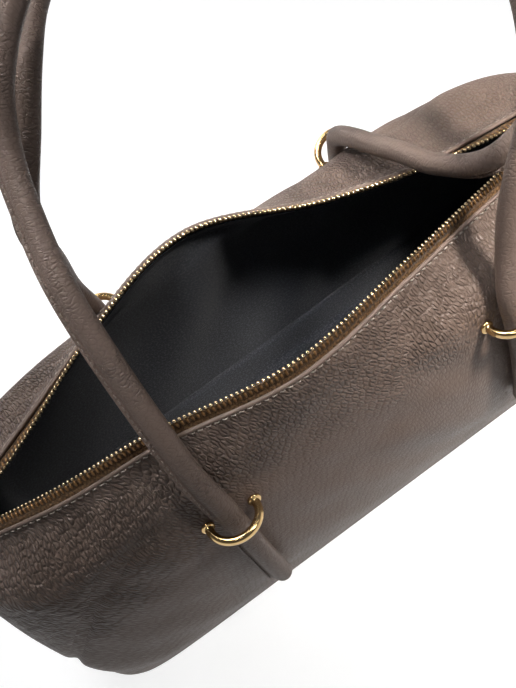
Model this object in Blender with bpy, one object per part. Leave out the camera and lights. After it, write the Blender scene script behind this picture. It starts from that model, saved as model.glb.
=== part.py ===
"""Soft leather handbag: a long loaf-shaped body with an open zip mouth, half rings and tube handles.

Metres, +Z up. X runs along the bag, the front faces -Y, and the bag stands on Z = 0.
"""

import math

import bmesh
import bpy
import numpy as np
from mathutils import Matrix, Vector

# Body
BASE_LENGTH = 0.388
BASE_DEPTH = 0.132
BASE_ROLL = 0.0065
BASE_POWER = 13.0
BELLY_LENGTH = 0.400
BELLY_SHIFT = -0.006
BELLY_DEPTH = 0.134
BELLY_POWER = 3.6
BELLY_MID_HEIGHT = 0.136
BELLY_END_HEIGHT = 0.132
BASE_LEAN = 0.28
BELLY_LEAN = 0.26
CORNER_SHARE = 0.745
CORNER_SPREAD_SHARE = 0.07
COLUMNS = 36
ROW_SHARES = (0.0, 0.14, 0.32, 0.50, 0.63, 0.70, 0.75, 0.80, 0.86, 0.92, 0.965, 1.0)
LINING_ROW_SHARES = (0.0, 0.22, 0.45, 0.63, 0.72, 0.80, 0.87, 0.94, 1.0)

# Mouth: places along it, and how far each lip stands out and up there
MOUTH_LENGTH = 0.390
MOUTH_END_HEIGHT = 0.146
MOUTH_PLACE_SHARES = (-1.0, -0.75, -0.45, -0.10, 0.25, 0.60, 0.80, 0.88, 0.95, 1.0)
FRONT_LIP_REACH = 0.0487
FRONT_REACH_SHARES = (0.0, 0.400, 0.700, 1.0, 0.745, 0.386, 0.180, 0.092, 0.040, 0.0)
FRONT_LIP_RISE = 0.0333
FRONT_RISE_SHARES = (0.0, 0.520, 0.934, 1.0, 0.778, 0.381, 0.165, 0.074, 0.033, 0.0)
BACK_LIP_REACH = 0.0549
BACK_REACH_SHARES = (0.0, 0.311, 0.756, 1.0, 0.450, 0.120, 0.016, 0.002, 0.020, 0.0)
BACK_LIP_RISE = 0.0223
BACK_RISE_SHARES = (0.0, 0.345, 0.767, 1.0, 0.690, 0.345, 0.175, 0.110, 0.050, 0.0)
LIP_MID_SLOPE = math.radians(58.0)
LIP_END_SLOPE = math.radians(6.0)
LIP_FLAT_SHARE = 0.86
LIP_STEEP_SHARE = 0.45
EDGE_SLOPE = math.radians(58.0)

# Sheet goods
LEATHER = 0.0018
LINING = 0.0007
LINING_ROOM = 0.0028
LINING_END_ROOM = 0.0018
LINING_TOP_DROP = 0.007
LINING_FOOT = 0.006
BOARD = 0.0020
SEAM_GAP = 0.0003

# Zip
TAPE_SHOW = 0.0062
TAPE_HIDDEN = 0.003
TAPE = 0.0006
TAPE_END_SHARE = 0.945
TAPE_SEAT = 0.0008
TOOTH_PITCH = 0.00254
TOOTH_LENGTH = 0.0013
TOOTH_DEPTH = 0.0032
TOOTH_HEIGHT = 0.0024
TOOTH_TIP_HEIGHT = 0.0016
BEAD_DEPTH = 0.0014
BEAD_HEIGHT = 0.0012
TOOTH_GAP = 0.0005
TEETH_START_SHARE = -0.915
TEETH_END_SHARE = 0.866
STOP_LENGTH = 0.0036
STOP_HEIGHT = 0.0030
STOP_DEPTH_SHARE = 0.75

# Slider and its pull
SLIDER_LENGTH = 0.0125
SLIDER_WIDTH = 0.0118
SLIDER_TAIL_WIDTH = 0.0086
SLIDER_PLATE = 0.0012
SLIDER_CHANNEL = 0.0044
SLIDER_LAP = 0.00292
WEDGE_LENGTH = 0.0045
WEDGE_WIDTH = 0.0026
BRIDGE_LENGTH = 0.0078
BRIDGE_HEIGHT = 0.0042
BRIDGE_BAR = 0.0014
PULL_LENGTH = 0.0270
PULL_WIDTH = 0.0080
PULL_THICKNESS = 0.0016
PULL_EYE_LENGTH = 0.0044
PULL_EYE_WIDTH = 0.0030
PULL_REST_ANGLE = math.radians(3.0)

# Half rings
RING_SPAN_LENGTH = 0.162
RING_FEET = 0.0249
RING_WIRE = 0.0043
RING_LEG = 0.0034
RING_DROP = 0.0045
COLLAR_RADIUS = 0.0034
COLLAR_THICKNESS = 0.0015
COLLAR_SEAT = 0.0004
SHANK_RADIUS = 0.0015
SHANK_LENGTH = 0.0040
HOLE_CLEARANCE = 0.0003
CUTTER_OVERRUN = 0.003
PLATE_LENGTH = 0.036
PLATE_WIDTH = 0.009
PLATE = 0.0008
PLATE_TIP_SHARE = 0.3
PLATE_SEAT = 0.0012

# Handles
TUBE_RADIUS = 0.0054
FLANGE_WIDTH = 0.0024
FLANGE_THICKNESS = 0.0022
TUBE_SEAT = 0.0006
TAIL_LENGTH = 0.080
RING_RISE = 0.0025
FRONT_KNUCKLE_SLOPE = math.radians(72.0)
BACK_KNUCKLE_SLOPE = math.radians(78.0)
KNUCKLE_GAP = 0.0008
HANDLE_REACH = 0.184
HANDLE_POINTS = 32
TAIL_POINTS = 7
FRONT_HANDLE_SHARES = (
    (-0.452, 0.037, 0.075), (-0.451, 0.143, 0.230), (-0.429, 0.396, 0.504), (-0.398, 0.548, 0.586),
    (-0.351, 0.670, 0.677), (-0.264, 0.724, 0.815), (-0.082, 0.768, 0.950), (0.217, 0.757, 0.993),
    (0.543, 0.703, 0.896), (0.761, 0.567, 0.722), (0.788, 0.377, 0.559), (0.679, 0.187, 0.396),
    (0.571, 0.116, 0.276), (0.516, 0.083, 0.178), (0.478, 0.045, 0.075),
)
BACK_HANDLE_SHARES = (
    (-0.451, 0.004, 0.087), (-0.435, -0.022, 0.256), (-0.418, -0.049, 0.441), (-0.291, -0.024, 0.647),
    (-0.196, 0.054, 0.740), (-0.109, 0.141, 0.789), (0.043, 0.239, 0.821), (0.272, 0.299, 0.816),
    (0.560, 0.255, 0.751), (0.777, 0.136, 0.653), (0.902, -0.082, 0.539), (0.913, -0.310, 0.419),
    (0.815, -0.489, 0.299), (0.679, -0.527, 0.223), (0.587, -0.505, 0.180), (0.511, -0.397, 0.142),
    (0.484, -0.288, 0.120), (0.465, -0.190, 0.085), (0.451, -0.098, 0.052),
)

FRONT, BACK = -1, 1
LEFT, RIGHT = -1, 1
TAPE_COLUMNS = 48
FINE_COLUMNS = 360
FINE_ROWS = 200
WALLS = {}
SIDE_NAMES = {FRONT: "front", BACK: "back"}
END_NAMES = {LEFT: "left", RIGHT: "right"}


def clear_scene():
    for item in list(bpy.data.objects):
        bpy.data.objects.remove(item, do_unlink=True)


def material(name, color, roughness, metallic=0.0):
    found = bpy.data.materials.new(name)
    found.use_nodes = True
    shader = found.node_tree.nodes["Principled BSDF"]
    shader.inputs["Base Color"].default_value = (*color, 1.0)
    shader.inputs["Roughness"].default_value = roughness
    shader.inputs["Metallic"].default_value = metallic
    found.diffuse_color = (*color, 1.0)
    return found


def body_from(name, points, faces, finish, smooth=True):
    """An object from points and faces, with every face turned outwards."""
    mesh = bpy.data.meshes.new(name)
    mesh.from_pydata([tuple(map(float, p)) for p in points], [], faces)
    shape = bmesh.new()
    shape.from_mesh(mesh)
    bmesh.ops.recalc_face_normals(shape, faces=shape.faces)
    shape.to_mesh(mesh)
    shape.free()
    if smooth:
        mesh.shade_smooth()
        mesh.set_sharp_from_angle(angle=math.radians(40.0))
    item = bpy.data.objects.new(name, mesh)
    item.data.materials.append(finish)
    bpy.context.scene.collection.objects.link(item)
    return item


def smooth_through(places, values, at):
    """Cubic curve through the table's points, read at the places asked for."""
    places = np.asarray(places, float)
    values = np.asarray(values, float)
    slopes = np.gradient(values, places)
    index = np.clip(np.searchsorted(places, at, side="right") - 1, 0, len(places) - 2)
    step = places[index + 1] - places[index]
    t = (at - places[index]) / step
    start, end = values[index], values[index + 1]
    return (
        (2 * t**3 - 3 * t**2 + 1) * start
        + (t**3 - 2 * t**2 + t) * step * slopes[index]
        + (-2 * t**3 + 3 * t**2) * end
        + (t**3 - t**2) * step * slopes[index + 1]
    )


def unit(vectors):
    return vectors / np.linalg.norm(vectors, axis=-1, keepdims=True)


def stack(x, y, z):
    return np.stack(np.broadcast_arrays(np.asarray(x, float), y, z), axis=-1)


def running_length(points):
    steps = np.linalg.norm(np.diff(points, axis=0), axis=-1)
    return np.concatenate([np.zeros((1,) + steps.shape[1:]), np.cumsum(steps, axis=0)])


def half_outline(places, length, depth, power):
    """Half of a rounded rectangle, from the left end round to the right, at even shares of it."""
    turns = np.linspace(math.pi, 0, 1441)
    x = length / 2 * np.sign(np.cos(turns)) * np.abs(np.cos(turns)) ** (2 / power)
    y = depth / 2 * np.abs(np.sin(turns)) ** (2 / power)
    run = running_length(np.column_stack([x, y]))
    wanted = (places + 1) / 2 * run[-1]
    return np.interp(wanted, run, x), np.interp(wanted, run, y)


def columns():
    """Places of the columns, closer together where the wall turns its corners."""
    fine = np.linspace(-1, 1, 2001)
    density = 1 + 3 * np.exp(-(((np.abs(fine) - CORNER_SHARE) / CORNER_SPREAD_SHARE) ** 2))
    density += 3 * np.exp(-(((np.abs(fine) - 1) / CORNER_SPREAD_SHARE) ** 2))
    total = np.concatenate([[0.0], np.cumsum((density[1:] + density[:-1]) / 2)])
    return np.interp(np.linspace(0, total[-1], COLUMNS + 1), total, fine)


def lip_slope(places):
    """Slope of the tape: steep in the middle of the mouth, nearly flat at its ends."""
    t = np.clip((np.abs(places) - LIP_STEEP_SHARE) / (LIP_FLAT_SHARE - LIP_STEEP_SHARE), 0, 1)
    return LIP_MID_SLOPE + (LIP_END_SLOPE - LIP_MID_SLOPE) * t * t * (3 - 2 * t)


def zip_line(side, places):
    """Line that the tips of one row of teeth follow."""
    reach, rise = (
        (FRONT_LIP_REACH * smooth_through(MOUTH_PLACE_SHARES, FRONT_REACH_SHARES, places),
         FRONT_LIP_RISE * smooth_through(MOUTH_PLACE_SHARES, FRONT_RISE_SHARES, places))
        if side == FRONT
        else (BACK_LIP_REACH * smooth_through(MOUTH_PLACE_SHARES, BACK_REACH_SHARES, places),
              BACK_LIP_RISE * smooth_through(MOUTH_PLACE_SHARES, BACK_RISE_SHARES, places))
    )
    return stack(MOUTH_LENGTH / 2 * places, side * reach, MOUTH_END_HEIGHT + rise)


def tape_axes(side, places):
    """Directions down the tape, away from the teeth, and out of its face."""
    slope = lip_slope(places)
    down = stack(0 * places, side * np.cos(slope), -np.sin(slope))
    face = stack(0 * places, side * np.sin(slope), np.cos(slope))
    return down, face


def leather_edge(side, places):
    """Turned edge of the leather beside the tape. It closes round both ends of the mouth."""
    down, _ = tape_axes(side, places)
    facing = stack(0 * places, side * math.sin(EDGE_SLOPE), math.cos(EDGE_SLOPE))
    closing = (np.clip(1 - np.abs(places) ** 24, 0, 1) ** 0.5)[:, None]
    lift = LEATHER + TAPE_SEAT + TAPE / 2
    return zip_line(side, places) + closing * (TAPE_SHOW * down + lift * facing)


def hermite(start, end, leave, arrive, t):
    """Cubic from start to end, with its tangents there given as directions."""
    size = np.linalg.norm(end - start, axis=-1, keepdims=True)
    return (
        (2 * t**3 - 3 * t**2 + 1) * start
        + (t**3 - 2 * t**2 + t) * size * leave
        + (-2 * t**3 + 3 * t**2) * end
        + (t**3 - t**2) * size * arrive
    )


def wall_knots(side, places):
    """Foot, belly and edge of the wall at each place, with the wall's direction there."""
    along, out = half_outline(places, BASE_LENGTH, BASE_DEPTH, BASE_POWER)
    foot = stack(along, side * out, BASE_ROLL + SEAM_GAP)
    along, out = half_outline(places, BELLY_LENGTH, BELLY_DEPTH, BELLY_POWER)
    along = along + BELLY_SHIFT
    height = BELLY_MID_HEIGHT - (BELLY_MID_HEIGHT - BELLY_END_HEIGHT) * np.abs(places) ** 3
    belly = stack(along, side * out, height)
    facing = unit(stack(-side * np.gradient(belly[:, 1]), side * np.gradient(belly[:, 0]), 0.0))
    facing[[0, -1]] = ((-1.0, 0.0, 0.0), (1.0, 0.0, 0.0))
    up = np.array([0.0, 0.0, 1.0])
    over = np.array([0.0, -side * math.cos(EDGE_SLOPE), math.sin(EDGE_SLOPE)])
    turned = (np.abs(places) ** 8)[:, None]
    edge_way = unit(over * (1 - turned) + up * turned)
    foot_way = unit(up + BASE_LEAN * facing)
    belly_way = unit(up - BELLY_LEAN * facing)
    return foot, belly, leather_edge(side, places), foot_way, belly_way, edge_way


def build_wall(side):
    """Fine grid of the wall's outer face, even up each column, with normals and lengths."""
    places = np.linspace(-1, 1, FINE_COLUMNS + 1)
    foot, belly, edge, foot_way, belly_way, edge_way = wall_knots(side, places)
    lower = [hermite(foot, belly, foot_way, belly_way, t) for t in np.linspace(0, 1, 81)]
    upper = [hermite(belly, edge, belly_way, edge_way, t) for t in np.linspace(0, 1, 61)[1:]]
    fine = np.array(lower + upper)
    run = running_length(fine)
    shares = np.linspace(0, 1, FINE_ROWS + 1)
    grid = np.empty((len(places), len(shares), 3))
    for i in range(len(places)):
        for axis in range(3):
            grid[i, :, axis] = np.interp(shares * run[-1, i], run[:, i], fine[:, i, axis])
    normals = unit(np.cross(np.gradient(grid, axis=0), np.gradient(grid, axis=1))) * (-side)
    normals[[0, -1], :, 1] = 0.0
    return places, grid, unit(normals), run[-1], run[len(lower) - 1] / run[-1], belly


def wall(side):
    if side not in WALLS:
        WALLS[side] = build_wall(side)
    return WALLS[side]


def on_wall(side, at_places, at_shares, depth=0.0):
    """Points below the wall's outer face, and the normals there, for places and shares alike."""
    places, grid, normals, *_ = wall(side)
    at_places, at_shares = np.broadcast_arrays(at_places, at_shares)
    i = np.interp(at_places, places, np.arange(len(places)))
    j = np.clip(at_shares, 0, 1) * FINE_ROWS
    i0, j0 = np.minimum(i.astype(int), len(places) - 2), np.minimum(j.astype(int), FINE_ROWS - 1)
    a, b = (i - i0)[..., None], (j - j0)[..., None]

    def read(field):
        low = field[i0, j0] * (1 - a) + field[i0 + 1, j0] * a
        high = field[i0, j0 + 1] * (1 - a) + field[i0 + 1, j0 + 1] * a
        return low * (1 - b) + high * b

    facing = unit(read(normals))
    return read(grid) - np.asarray(depth)[..., None] * facing, facing


def wall_lengths(side, at_places):
    places, _, _, lengths, *_ = wall(side)
    return np.interp(at_places, places, lengths)


def wall_sheet_points(side, row_shares, depths, foot_drop=0.0, edge_drop=0.0):
    """Columns by rows of points at each depth under the wall's outer face."""
    places = columns()
    lengths = wall_lengths(side, places)
    low, high = foot_drop / lengths, 1 - edge_drop / lengths
    shares = low[:, None] + (high - low)[:, None] * np.array(row_shares)[None, :]
    return [on_wall(side, places[:, None], shares, depth)[0] for depth in depths]


def opened_at_seam(side, grid):
    """Keeps half the seam's gap between a wall and the plane of the end seams."""
    grid = grid.copy()
    grid[..., 1] = side * np.maximum(side * grid[..., 1], SEAM_GAP / 2)
    return grid


def sheet(name, outer, inner, finish):
    """Closed sheet between two grids of points of one size."""
    columns_count, rows_count, _ = outer.shape
    index = np.arange(columns_count * rows_count).reshape(columns_count, rows_count)
    back = index + index.size
    faces = []
    for i in range(columns_count - 1):
        for j in range(rows_count - 1):
            for corners in (((i, j), (i + 1, j), (i + 1, j + 1)), ((i, j), (i + 1, j + 1), (i, j + 1))):
                faces.append([index[c] for c in corners])
                faces.append([back[c] for c in reversed(corners)])
    rim = [(i, 0) for i in range(columns_count)]
    rim += [(columns_count - 1, j) for j in range(1, rows_count)]
    rim += [(i, rows_count - 1) for i in range(columns_count - 2, -1, -1)]
    rim += [(0, j) for j in range(rows_count - 2, 0, -1)]
    for a, b in zip(rim, rim[1:] + rim[:1]):
        faces.append([index[a], back[a], back[b], index[b]])
    points = np.concatenate([outer.reshape(-1, 3), inner.reshape(-1, 3)])
    return body_from(name, points, [list(map(int, f)) for f in faces], finish)


def make_panel(side, finish):
    depths = (np.array(0.0), np.array(LEATHER))
    outer, inner = (opened_at_seam(side, p) for p in wall_sheet_points(side, ROW_SHARES, depths))
    return sheet(f"{SIDE_NAMES[side]}_panel", outer, inner, finish)


def make_lining(side, finish):
    ends = (np.abs(columns()) ** 6)[:, None]
    room = LINING_ROOM - (LINING_ROOM - LINING_END_ROOM) * ends
    depths = (LEATHER + room, LEATHER + room + LINING)
    grids = wall_sheet_points(side, LINING_ROW_SHARES, depths, LINING_FOOT, LINING_TOP_DROP)
    outer, inner = (opened_at_seam(side, p) for p in grids)
    return sheet(f"{SIDE_NAMES[side]}_lining", outer, inner, finish)


def make_tape(side, finish):
    """Woven tape: bare beside the teeth, then hidden behind the leather's edge."""
    places = TAPE_END_SHARE * np.linspace(-1, 1, TAPE_COLUMNS + 1)
    down, face = tape_axes(side, places)
    bare = zip_line(side, places) + (TOOTH_DEPTH + TOOTH_GAP) * down
    depth = LEATHER + TAPE_SEAT + TAPE / 2
    edge, edge_face = on_wall(side, places, 1.0, depth)
    hidden_shares = 1 - TAPE_HIDDEN / wall_lengths(side, places)
    tucked, tucked_face = on_wall(side, places, hidden_shares, depth)
    rows = np.stack([bare, edge, tucked], axis=1)
    faces = np.stack([face, unit(face + edge_face), tucked_face], axis=1)
    outer, inner = rows + TAPE / 2 * faces, rows - TAPE / 2 * faces
    return sheet(f"{SIDE_NAMES[side]}_zip_tape", outer, inner, finish)


def even_places(side, start, end, pitch):
    """Places one pitch apart along the zip line."""
    fine = np.linspace(start, end, 1201)
    steps = np.linalg.norm(np.diff(zip_line(side, fine), axis=0), axis=-1)
    run = np.concatenate([[0.0], np.cumsum(steps)])
    count = int(run[-1] / pitch)
    return lambda distance: np.interp(distance, run, fine), count


def make_teeth(side, finish):
    """One row of teeth on its bead: for each pitch a thin neck, then the two faces of a tooth."""
    place_at, count = even_places(side, TEETH_START_SHARE, TEETH_END_SHARE, TOOTH_PITCH)
    necks = np.arange(count + 1) * TOOTH_PITCH
    tooth_starts = necks[:-1] + (TOOTH_PITCH - TOOTH_LENGTH) / 2
    runs = [necks[0]]
    wide = [False]
    for neck, start in zip(necks[1:], tooth_starts):
        runs += [start, start + TOOTH_LENGTH, neck]
        wide += [True, True, False]
    places = place_at(np.array(runs))
    line = zip_line(side, places)
    down, face = tape_axes(side, places)
    wide = np.array(wide)[:, None]
    root = np.where(wide, TOOTH_DEPTH, TOOTH_DEPTH - (TOOTH_DEPTH - BEAD_DEPTH) / 4)
    tip = np.where(wide, 0.0, root - BEAD_DEPTH)
    root_half = np.where(wide, TOOTH_HEIGHT, BEAD_HEIGHT) / 2
    tip_half = np.where(wide, TOOTH_TIP_HEIGHT, BEAD_HEIGHT) / 2
    rings = np.stack(
        [
            line + root * down + root_half * face,
            line + tip * down + tip_half * face,
            line + tip * down - tip_half * face,
            line + root * down - root_half * face,
        ],
        axis=1,
    )
    return tube_of_rings(f"{SIDE_NAMES[side]}_zip_teeth", rings, finish, smooth=False)


def tube_of_rings(name, rings, finish, smooth=True):
    """Closed body through rings of points of one size, with flat ends."""
    count, around, _ = rings.shape
    faces = [list(range(around)), [(count - 1) * around + k for k in range(around)]]
    for i in range(count - 1):
        for k in range(around):
            n = (k + 1) % around
            faces.append([i * around + k, i * around + n, (i + 1) * around + n, (i + 1) * around + k])
    return body_from(name, rings.reshape(-1, 3), faces, finish, smooth)


def full_outline(inset):
    """Base outline all the way round, drawn in by an inset."""
    places = columns()
    along, out = half_outline(places, BASE_LENGTH - 2 * inset, BASE_DEPTH - 2 * inset, BASE_POWER)
    front = np.column_stack([along, -out])
    back = np.column_stack([along, out])[-2:0:-1]
    return np.concatenate([front, back])


def ring_at(inset, height):
    outline = full_outline(inset)
    return np.column_stack([outline, np.full(len(outline), height)])


def make_base_panel(finish):
    """Shallow tray: its edge rolls up to meet the walls."""
    turns = np.linspace(0, math.pi / 2, 4)
    inner_roll = BASE_ROLL - LEATHER
    outside = [ring_at(BASE_ROLL * (1 - math.cos(a)), BASE_ROLL * (1 - math.sin(a))) for a in turns]
    inside = [
        ring_at(BASE_ROLL - inner_roll * math.cos(a), BASE_ROLL - inner_roll * math.sin(a))
        for a in turns[::-1]
    ]
    return tube_of_rings("base_panel", np.array(inside + outside), finish)


def make_plate_on_base(name, inset, bottom, thickness, finish):
    rings = np.array([ring_at(inset, bottom), ring_at(inset, bottom + thickness)])
    return tube_of_rings(name, rings, finish)


def ring_seat(side, end):
    """Place and share on the wall of a ring's middle."""
    places, _, _, _, belly_shares, belly = wall(side)
    place = np.interp(end * RING_SPAN_LENGTH / 2, belly[:, 0], places)
    drop = RING_DROP / wall_lengths(side, place)
    return place, np.interp(place, places, belly_shares) - drop


def ring_frame(side, end):
    """Seat of a half ring on the belly: its point, and the directions along, out and up there."""
    place, share = ring_seat(side, end)
    point, out = on_wall(side, place, share)
    nudge = 1 / FINE_COLUMNS
    along = on_wall(side, place + nudge, share)[0] - on_wall(side, place - nudge, share)[0]
    along = unit(along - np.dot(along, out) * out)
    up = np.cross(along, out) * side
    return point, along, out, up


def circle_ring(center, a, b, radius, sides):
    angles = np.arange(sides) * 2 * math.pi / sides
    return center + radius * (np.cos(angles)[:, None] * a + np.sin(angles)[:, None] * b)


def make_half_ring(side, end, finish):
    """One bar: shank, collar and leg, the half circle, then the other leg, collar and shank."""
    point, along, out, up = ring_frame(side, end)
    wire = RING_WIRE / 2
    collar_top = COLLAR_SEAT + COLLAR_THICKNESS
    leg_steps = (
        (-SHANK_LENGTH, SHANK_RADIUS), (COLLAR_SEAT, SHANK_RADIUS), (COLLAR_SEAT, COLLAR_RADIUS),
        (collar_top, COLLAR_RADIUS), (collar_top, wire), (RING_LEG, wire),
    )
    rings = []
    for height, radius in leg_steps:
        center = point - RING_FEET / 2 * along + height * out
        rings.append(circle_ring(center, along, up, radius, 8))
    for angle in np.linspace(math.pi, 0, 11)[1:-1]:
        radial = math.cos(angle) * along + math.sin(angle) * out
        center = point + RING_LEG * out + RING_FEET / 2 * radial
        rings.append(circle_ring(center, -radial, up, wire, 8))
    for height, radius in reversed(leg_steps):
        center = point + RING_FEET / 2 * along + height * out
        rings.append(circle_ring(center, -along, up, radius, 8))
    name = f"half_ring_{SIDE_NAMES[side]}_{END_NAMES[end]}"
    return tube_of_rings(name, np.array(rings), finish)


def cutter_cylinder(name, center, axis, radius, length):
    shape = bmesh.new()
    turn = Vector(axis).to_track_quat("Z", "Y").to_matrix().to_4x4()
    bmesh.ops.create_cone(
        shape, cap_ends=True, segments=10, radius1=radius, radius2=radius, depth=length,
        matrix=Matrix.Translation(Vector(center)) @ turn,
    )
    mesh = bpy.data.meshes.new(name)
    shape.to_mesh(mesh)
    shape.free()
    item = bpy.data.objects.new(name, mesh)
    item.hide_render = True
    item.display_type = "WIRE"
    bpy.context.scene.collection.objects.link(item)
    return item


def cut(item, cutter, operation="DIFFERENCE"):
    step = item.modifiers.new(cutter.name, "BOOLEAN")
    step.operation = operation
    step.object = cutter
    step.solver = "EXACT"


def make_ring_holes(side, end, panel, plate):
    """Holes for the ring's two shanks, through the leather and the plate behind it."""
    point, along, out, _ = ring_frame(side, end)
    length = 2 * (SHANK_LENGTH + CUTTER_OVERRUN)
    for foot in (-1, 1):
        name = f"hole_{SIDE_NAMES[side]}_{END_NAMES[end]}_{'a' if foot < 0 else 'b'}"
        center = point + foot * RING_FEET / 2 * along
        cutter = cutter_cylinder(name, center, out, SHANK_RADIUS + HOLE_CLEARANCE, length)
        cut(panel, cutter)
        cut(plate, cutter)


def make_ring_plate(side, end, finish):
    """Metal strip behind the leather that spreads the ring's load. It follows the wall."""
    place, share = ring_seat(side, end)
    point = ring_frame(side, end)[0]
    nudge = 1 / FINE_COLUMNS
    pace = np.linalg.norm(on_wall(side, place + nudge, share)[0] - point) / nudge
    shares = np.linspace(-1, 1, 9)
    halves = PLATE_WIDTH / 2 * np.maximum(1 - np.abs(shares) ** 6, PLATE_TIP_SHARE) ** 0.5
    at_places = (place + shares * PLATE_LENGTH / 2 / pace)[:, None]
    drop = halves[:, None] * np.linspace(-1, 1, 3)[None, :] / wall_lengths(side, place)
    top = on_wall(side, at_places, share + drop, LEATHER + PLATE_SEAT)[0]
    under = on_wall(side, at_places, share + drop, LEATHER + PLATE_SEAT + PLATE)[0]
    return sheet(f"ring_plate_{SIDE_NAMES[side]}_{END_NAMES[end]}", top, under, finish)


def ring_center(side, end):
    """Middle of the handle tube where it passes through the ring, and the way up along it."""
    point, _, out, up = ring_frame(side, end)
    flat = np.array([0.0, 1.0, 1.0])
    out = unit(out * flat)
    up = unit(up * flat)
    return point + (TUBE_RADIUS + TUBE_SEAT) * out, out, up


def knuckle_way(side):
    slope = FRONT_KNUCKLE_SLOPE if side == FRONT else BACK_KNUCKLE_SLOPE
    return np.array([0.0, -side * math.cos(slope), math.sin(slope)])


def handle_end_top(side, end):
    """Centre of the rounded top of the fixed handle end, just above the ring."""
    center, _, up = ring_center(side, end)
    return center + RING_RISE * up


def hinge_point(side, end):
    return handle_end_top(side, end) + (2 * TUBE_RADIUS + KNUCKLE_GAP) * knuckle_way(side)


def profile(center, way, flange_way, size, flange_share):
    """Tube section with its stitched flange: an arc of ten points and the flange's two corners."""
    a = unit(flange_way - np.dot(flange_way, way) * way)
    b = np.cross(way, a)
    radius = TUBE_RADIUS * size
    half = min(FLANGE_THICKNESS / 2, radius * 0.4)
    lead = math.asin(half / radius)
    angles = np.linspace(lead, 2 * math.pi - lead, 10)
    ring = [center + radius * (math.cos(t) * a + math.sin(t) * b) for t in angles]
    reach = radius * math.cos(lead) + max(FLANGE_WIDTH * flange_share * size, radius * 0.02)
    ring.append(center + reach * a - half * b)
    ring.append(center + reach * a + half * b)
    return ring


def leather_tube(name, path, flange_ways, flange_shares, finish):
    """Rolled tube along a path, with a rounded end past its first and last points."""
    ways = unit(np.gradient(path, axis=0))
    rings = []
    turns = np.linspace(math.pi / 2, 0, 4)[:-1] * 0.93
    for a in turns:
        center = path[0] - TUBE_RADIUS * math.sin(a) * ways[0]
        rings.append(profile(center, ways[0], flange_ways[0], math.cos(a), flange_shares[0]))
    for point, way, flange, share in zip(path, ways, flange_ways, flange_shares):
        rings.append(profile(point, way, flange, 1.0, share))
    for a in turns[::-1]:
        center = path[-1] + TUBE_RADIUS * math.sin(a) * ways[-1]
        rings.append(profile(center, ways[-1], flange_ways[-1], math.cos(a), flange_shares[-1]))
    return tube_of_rings(name, np.array(rings), finish)


def make_handle_end(side, end, finish):
    """Fixed end of a handle: a tail down the wall, through the ring, to a rounded top."""
    _, grid, *_ = wall(side)
    at = end * RING_SPAN_LENGTH / 2
    order = np.argsort(grid[:, 0, 0])
    section = np.array([[np.interp(at, row[order, 0], row[order, k]) for k in (1, 2)]
                        for row in np.swapaxes(grid, 0, 1)])
    ways = unit(np.gradient(section, axis=0))
    outs = np.column_stack([side * ways[:, 1], -side * ways[:, 0]])
    centers = section + (TUBE_RADIUS + TUBE_SEAT) * outs
    start, _, _ = ring_center(side, end)
    below = centers[centers[:, 1] < start[2] - TUBE_RADIUS][::-1]
    down = np.concatenate([[start[1:]], below])
    run = running_length(down)
    wanted = np.linspace(0, TAIL_LENGTH - TUBE_RADIUS, TAIL_POINTS)
    down = np.column_stack([np.full(TAIL_POINTS, at)] + [np.interp(wanted, run, down[:, k]) for k in (0, 1)])
    path = np.concatenate([down[::-1], [handle_end_top(side, end)]])
    flange = np.tile([end, 0.0, 0.0], (len(path), 1))
    shares = np.ones(len(path))
    shares[[0, -2, -1]] = 0.0
    return leather_tube(f"handle_end_{SIDE_NAMES[side]}_{END_NAMES[end]}", path, flange, shares, finish)


def spline(points, count):
    """Smooth curve through points, evenly spaced along its length."""
    points = np.asarray(points)
    chords = np.sqrt(np.linalg.norm(np.diff(points, axis=0), axis=-1))
    knots = np.concatenate([[0.0], np.cumsum(chords)])
    fine = np.linspace(0, knots[-1], 1500)
    curve = np.column_stack([smooth_through(knots, points[:, k], fine) for k in range(3)])
    run = np.concatenate([[0.0], np.cumsum(np.linalg.norm(np.diff(curve, axis=0), axis=-1))])
    wanted = np.linspace(0, run[-1], count)
    return np.column_stack([np.interp(wanted, run, curve[:, k]) for k in range(3)])


def handle_path(side):
    left = hinge_point(side, LEFT)
    right = hinge_point(side, RIGHT)
    middle = (left + right) / 2
    shares = FRONT_HANDLE_SHARES if side == FRONT else BACK_HANDLE_SHARES
    points = [left] + [middle + HANDLE_REACH * np.array(s) for s in shares] + [right]
    return spline(points, HANDLE_POINTS)


def make_handle(side, finish):
    """Moving loop of a handle. Its origin is on the line that it swings about."""
    path = handle_path(side)
    hub = (path[0] + path[-1]) / 2
    ways = unit(np.gradient(path, axis=0))
    away = path - path.mean(axis=0)
    away -= (away * ways).sum(axis=1, keepdims=True) * ways
    shares = np.ones(len(path))
    shares[:2] = 0.0
    shares[-2:] = 0.0
    item = leather_tube(f"{SIDE_NAMES[side]}_handle", path - hub, unit(away), shares, finish)
    item.location = Vector(hub)
    return item


def slider_place():
    """The slider stands over the last teeth, which run into it by the lap."""
    return TEETH_END_SHARE * MOUTH_LENGTH / 2 + SLIDER_LENGTH / 2 - SLIDER_LAP


def zip_middle(place):
    """Point halfway between the two rows of teeth."""
    at = np.array([place / (MOUTH_LENGTH / 2)])
    return (zip_line(FRONT, at)[0] + zip_line(BACK, at)[0]) / 2


def prism(name, outline, bottom, height, finish):
    rings = np.array([[(x, y, z) for x, y in outline] for z in (bottom, bottom + height)])
    return tube_of_rings(name, rings, finish, smooth=False)


def box_body(name, center, size, finish, bevel=0.0):
    x, y = size[0] / 2, size[1] / 2
    item = prism(name, ((-x, -y), (x, -y), (x, y), (-x, y)), -size[2] / 2, size[2], finish)
    item.location = Vector(center)
    if bevel:
        rounding = item.modifiers.new("edges", "BEVEL")
        rounding.width = bevel
        rounding.segments = 1
    return item


def hidden(item):
    item.hide_render = True
    item.display_type = "WIRE"
    return item


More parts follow.
